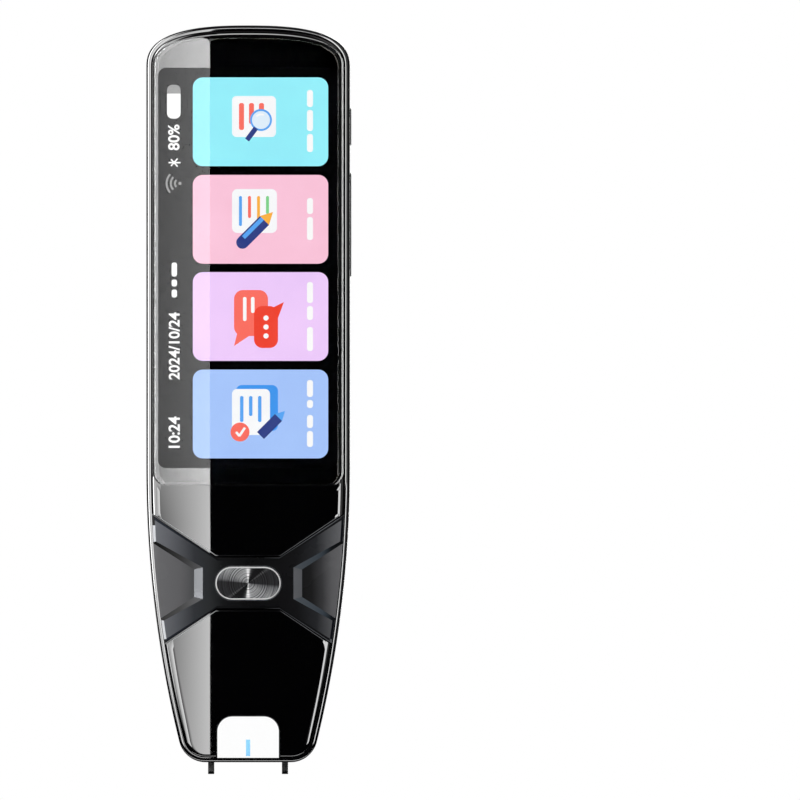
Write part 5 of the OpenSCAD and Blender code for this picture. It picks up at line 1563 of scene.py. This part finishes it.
soft_light("left_lamp", (-420, -560, 200), 300, 500, 3.0)
soft_light("right_lamp", (520, -480, 160), 300, 500, 1.2)
soft_light("top_lamp", (-40, -60, 800), 600, 600, 1.6)
soft_light("back_lamp", (420, 520, 200), 300, 500, 3.0)
soft_light("left_strip", (-350, -594, 40), 84, 1300, 12.0, shines=True)
soft_light("back_strip", (275, 533, 40), 175, 1300, 15.0, shines=True)
soft_light("back_patch", (120, 510, 328), 240, 212, 5.0, shines=True)
soft_light("pad_patch", (168, 528, 264), 170, 170, 10.0, shines=True)
soft_light("back_corner", (270, 408, 386), 212, 212, 11.0, shines=True)
print("lamps:", len(bpy.data.lights))

# %% Floor
FLOOR_Z, FLOOR_R, FLOOR_SIDES, FLOOR_TONE = -38.85, 6000, 60, 0.86
floor_mesh = bpy.data.meshes.new("floor")
rim = circle(0, 0, FLOOR_R, FLOOR_SIDES)
floor_mesh.from_pydata([(x * MM, y * MM, FLOOR_Z * MM) for x, y in rim], [], [tuple(range(FLOOR_SIDES))])
floor = new_object("floor", floor_mesh)
tree, shader = new_material("floor_pale")
straight, mirrored = ray_kinds(tree)
spot = add(tree, "ShaderNodeTexCoord").outputs["Object"]
away = vector_maths(tree, "LENGTH", spot)["Value"]
plug(tree, shader, Base_Color=drift_colour(tree, noise(tree, 400, detail=2), [FLOOR_TONE] * 3, 0.01),
     Roughness=0.9, Specular_IOR_Level=0.0, Emission_Color=(1, 1, 1, 1),
     Emission_Strength=maths(tree, "MULTIPLY", straight, spread_value(tree, away, 0.4, 0.7, 0.2, 1.5)))
floor_strips = add(tree, "ShaderNodeGroup", spot, node_tree=strips).outputs[0]
fade = spread_value(tree, away, 0.0, 1.0, 0.11, 0.26)
light = add(tree, "ShaderNodeEmission", Strength=maths(tree, "MULTIPLY", floor_strips, fade))
either = add(tree, "ShaderNodeMixShader", mirrored, shader.outputs[0], light.outputs[0])
plug(tree, tree.nodes["Material Output"], Surface=either.outputs[0])
FINISHES["floor_pale"].cycles.emission_sampling = "NONE"
floor.data.materials.append(FINISHES["floor_pale"])
floor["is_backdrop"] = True
print("floor at", FLOOR_Z, "mm with", len(tree.nodes), "nodes")

# %% [markdown]
# ## The reflection cards
# The crisp bright area along the left of the glossy front is the reflection of a card that stands
# close in front of it. The camera looks without perspective, so a card's reflection in a flat face
# lies exactly across from it, at the same place and of the same size. The card has a hole shaped
# like the cross, because the satin cross would pick up a haze from it. The others draw the lines
# of the rounded edges, the tip, the back's side, the camera's pane and the scan window.

# %% Reflection cards
CARD_Y, LOWER_END, UPPER_START = -60, 12, 30


def light_up(card, low, high, upper=None):
    """Light whose strength runs along X between two (X, level) ends; upper has other levels higher up."""
    material = bpy.data.materials.new(card.name)
    material.use_nodes = True
    tree = material.node_tree
    tree.nodes.clear()
    x, _, z = object_axes(tree)
    (x0, a), (x1, b) = low, high
    lower_part = spread_value(tree, x, a, b, x0 * MM, x1 * MM)
    upper_part = spread_value(tree, x, *(upper or (a, b)), x0 * MM, x1 * MM)
    share = spread_value(tree, z, 0.0, 1.0, LOWER_END * MM, UPPER_START * MM)
    strength = blend(tree, share, lower_part, upper_part)
    light = add(tree, "ShaderNodeEmission", Strength=strength)
    add(tree, "ShaderNodeOutputMaterial", Surface=light.outputs[0])
    card.data.materials.clear()
    card.data.materials.append(material)
    card.visible_camera = card.visible_diffuse = card.visible_shadow = False
    card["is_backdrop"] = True


def glow_card(name, points, low, high, y=CARD_Y):
    """A card that stands in front of the pen, or behind it where y is above 0."""
    card = prism(points, y, y + 1, name)
    light_up(card, low, high)


main_card = prism(box_points(-20.9, -52, -7.75, 132), CARD_Y, CARD_Y + 1, "main_card")
carve(main_card, prism(cross(3.0), CARD_Y - 1, CARD_Y + 2))
light_up(main_card, (-18.2, 1.0), (-7.8, 4.7), (2.7, 4.3))
glow_card("edge_card", box_points(-34, -52, -21.0, 132), (-33.0, 2.6), (-22.0, 6.0))
glow_card("right_upper_card", box_points(20.8, 20, 27.5, 132), (20.8, 6.2), (27.5, 4.5))
glow_card("right_lower_card", box_points(27, -52, 34.5, 20), (27.0, 6.2), (34.5, 5.0))
glow_card("upper_card", box_points(-7.7, 127.5, 20.8, 133.5), (-7.0, 4.6), (20.8, 3.2))
tip_card = block((-24, -10.4, FLOOR_Z + 0.02), (24, -9.2, FLOOR_Z + 0.04), "tip_card")
light_up(tip_card, (-24.0, 3.5), (24.0, 3.5))
glow_card("back_side_card", box_points(13.5, -45, 23.5, 128), (13.5, 0.8), (23.0, 6.0), y=60)
glow_card("camera_card", [(-0.33, 77), (8, 77), (8, 88), (-3.3, 88)], (-3.2, 1.0), (4.0, 0.05), y=60)
glow_card("scan_card", [(-1.0, -38), (7, -38), (7, -26), (-3.4, -26)], (-3.4, 2.0), (7.0, 0.3), y=20)

# %% Finish
look_low, look_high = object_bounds()
print("nodes still shown:", sum(1 for n in NODES if not NODES[n].hide_render))
for name, low, high in (("frame", cad_low, cad_high), ("dressed", look_low, look_high)):
    print(name, "box in mm:", [round(v / MM, 2) for v in (*low, *high)])
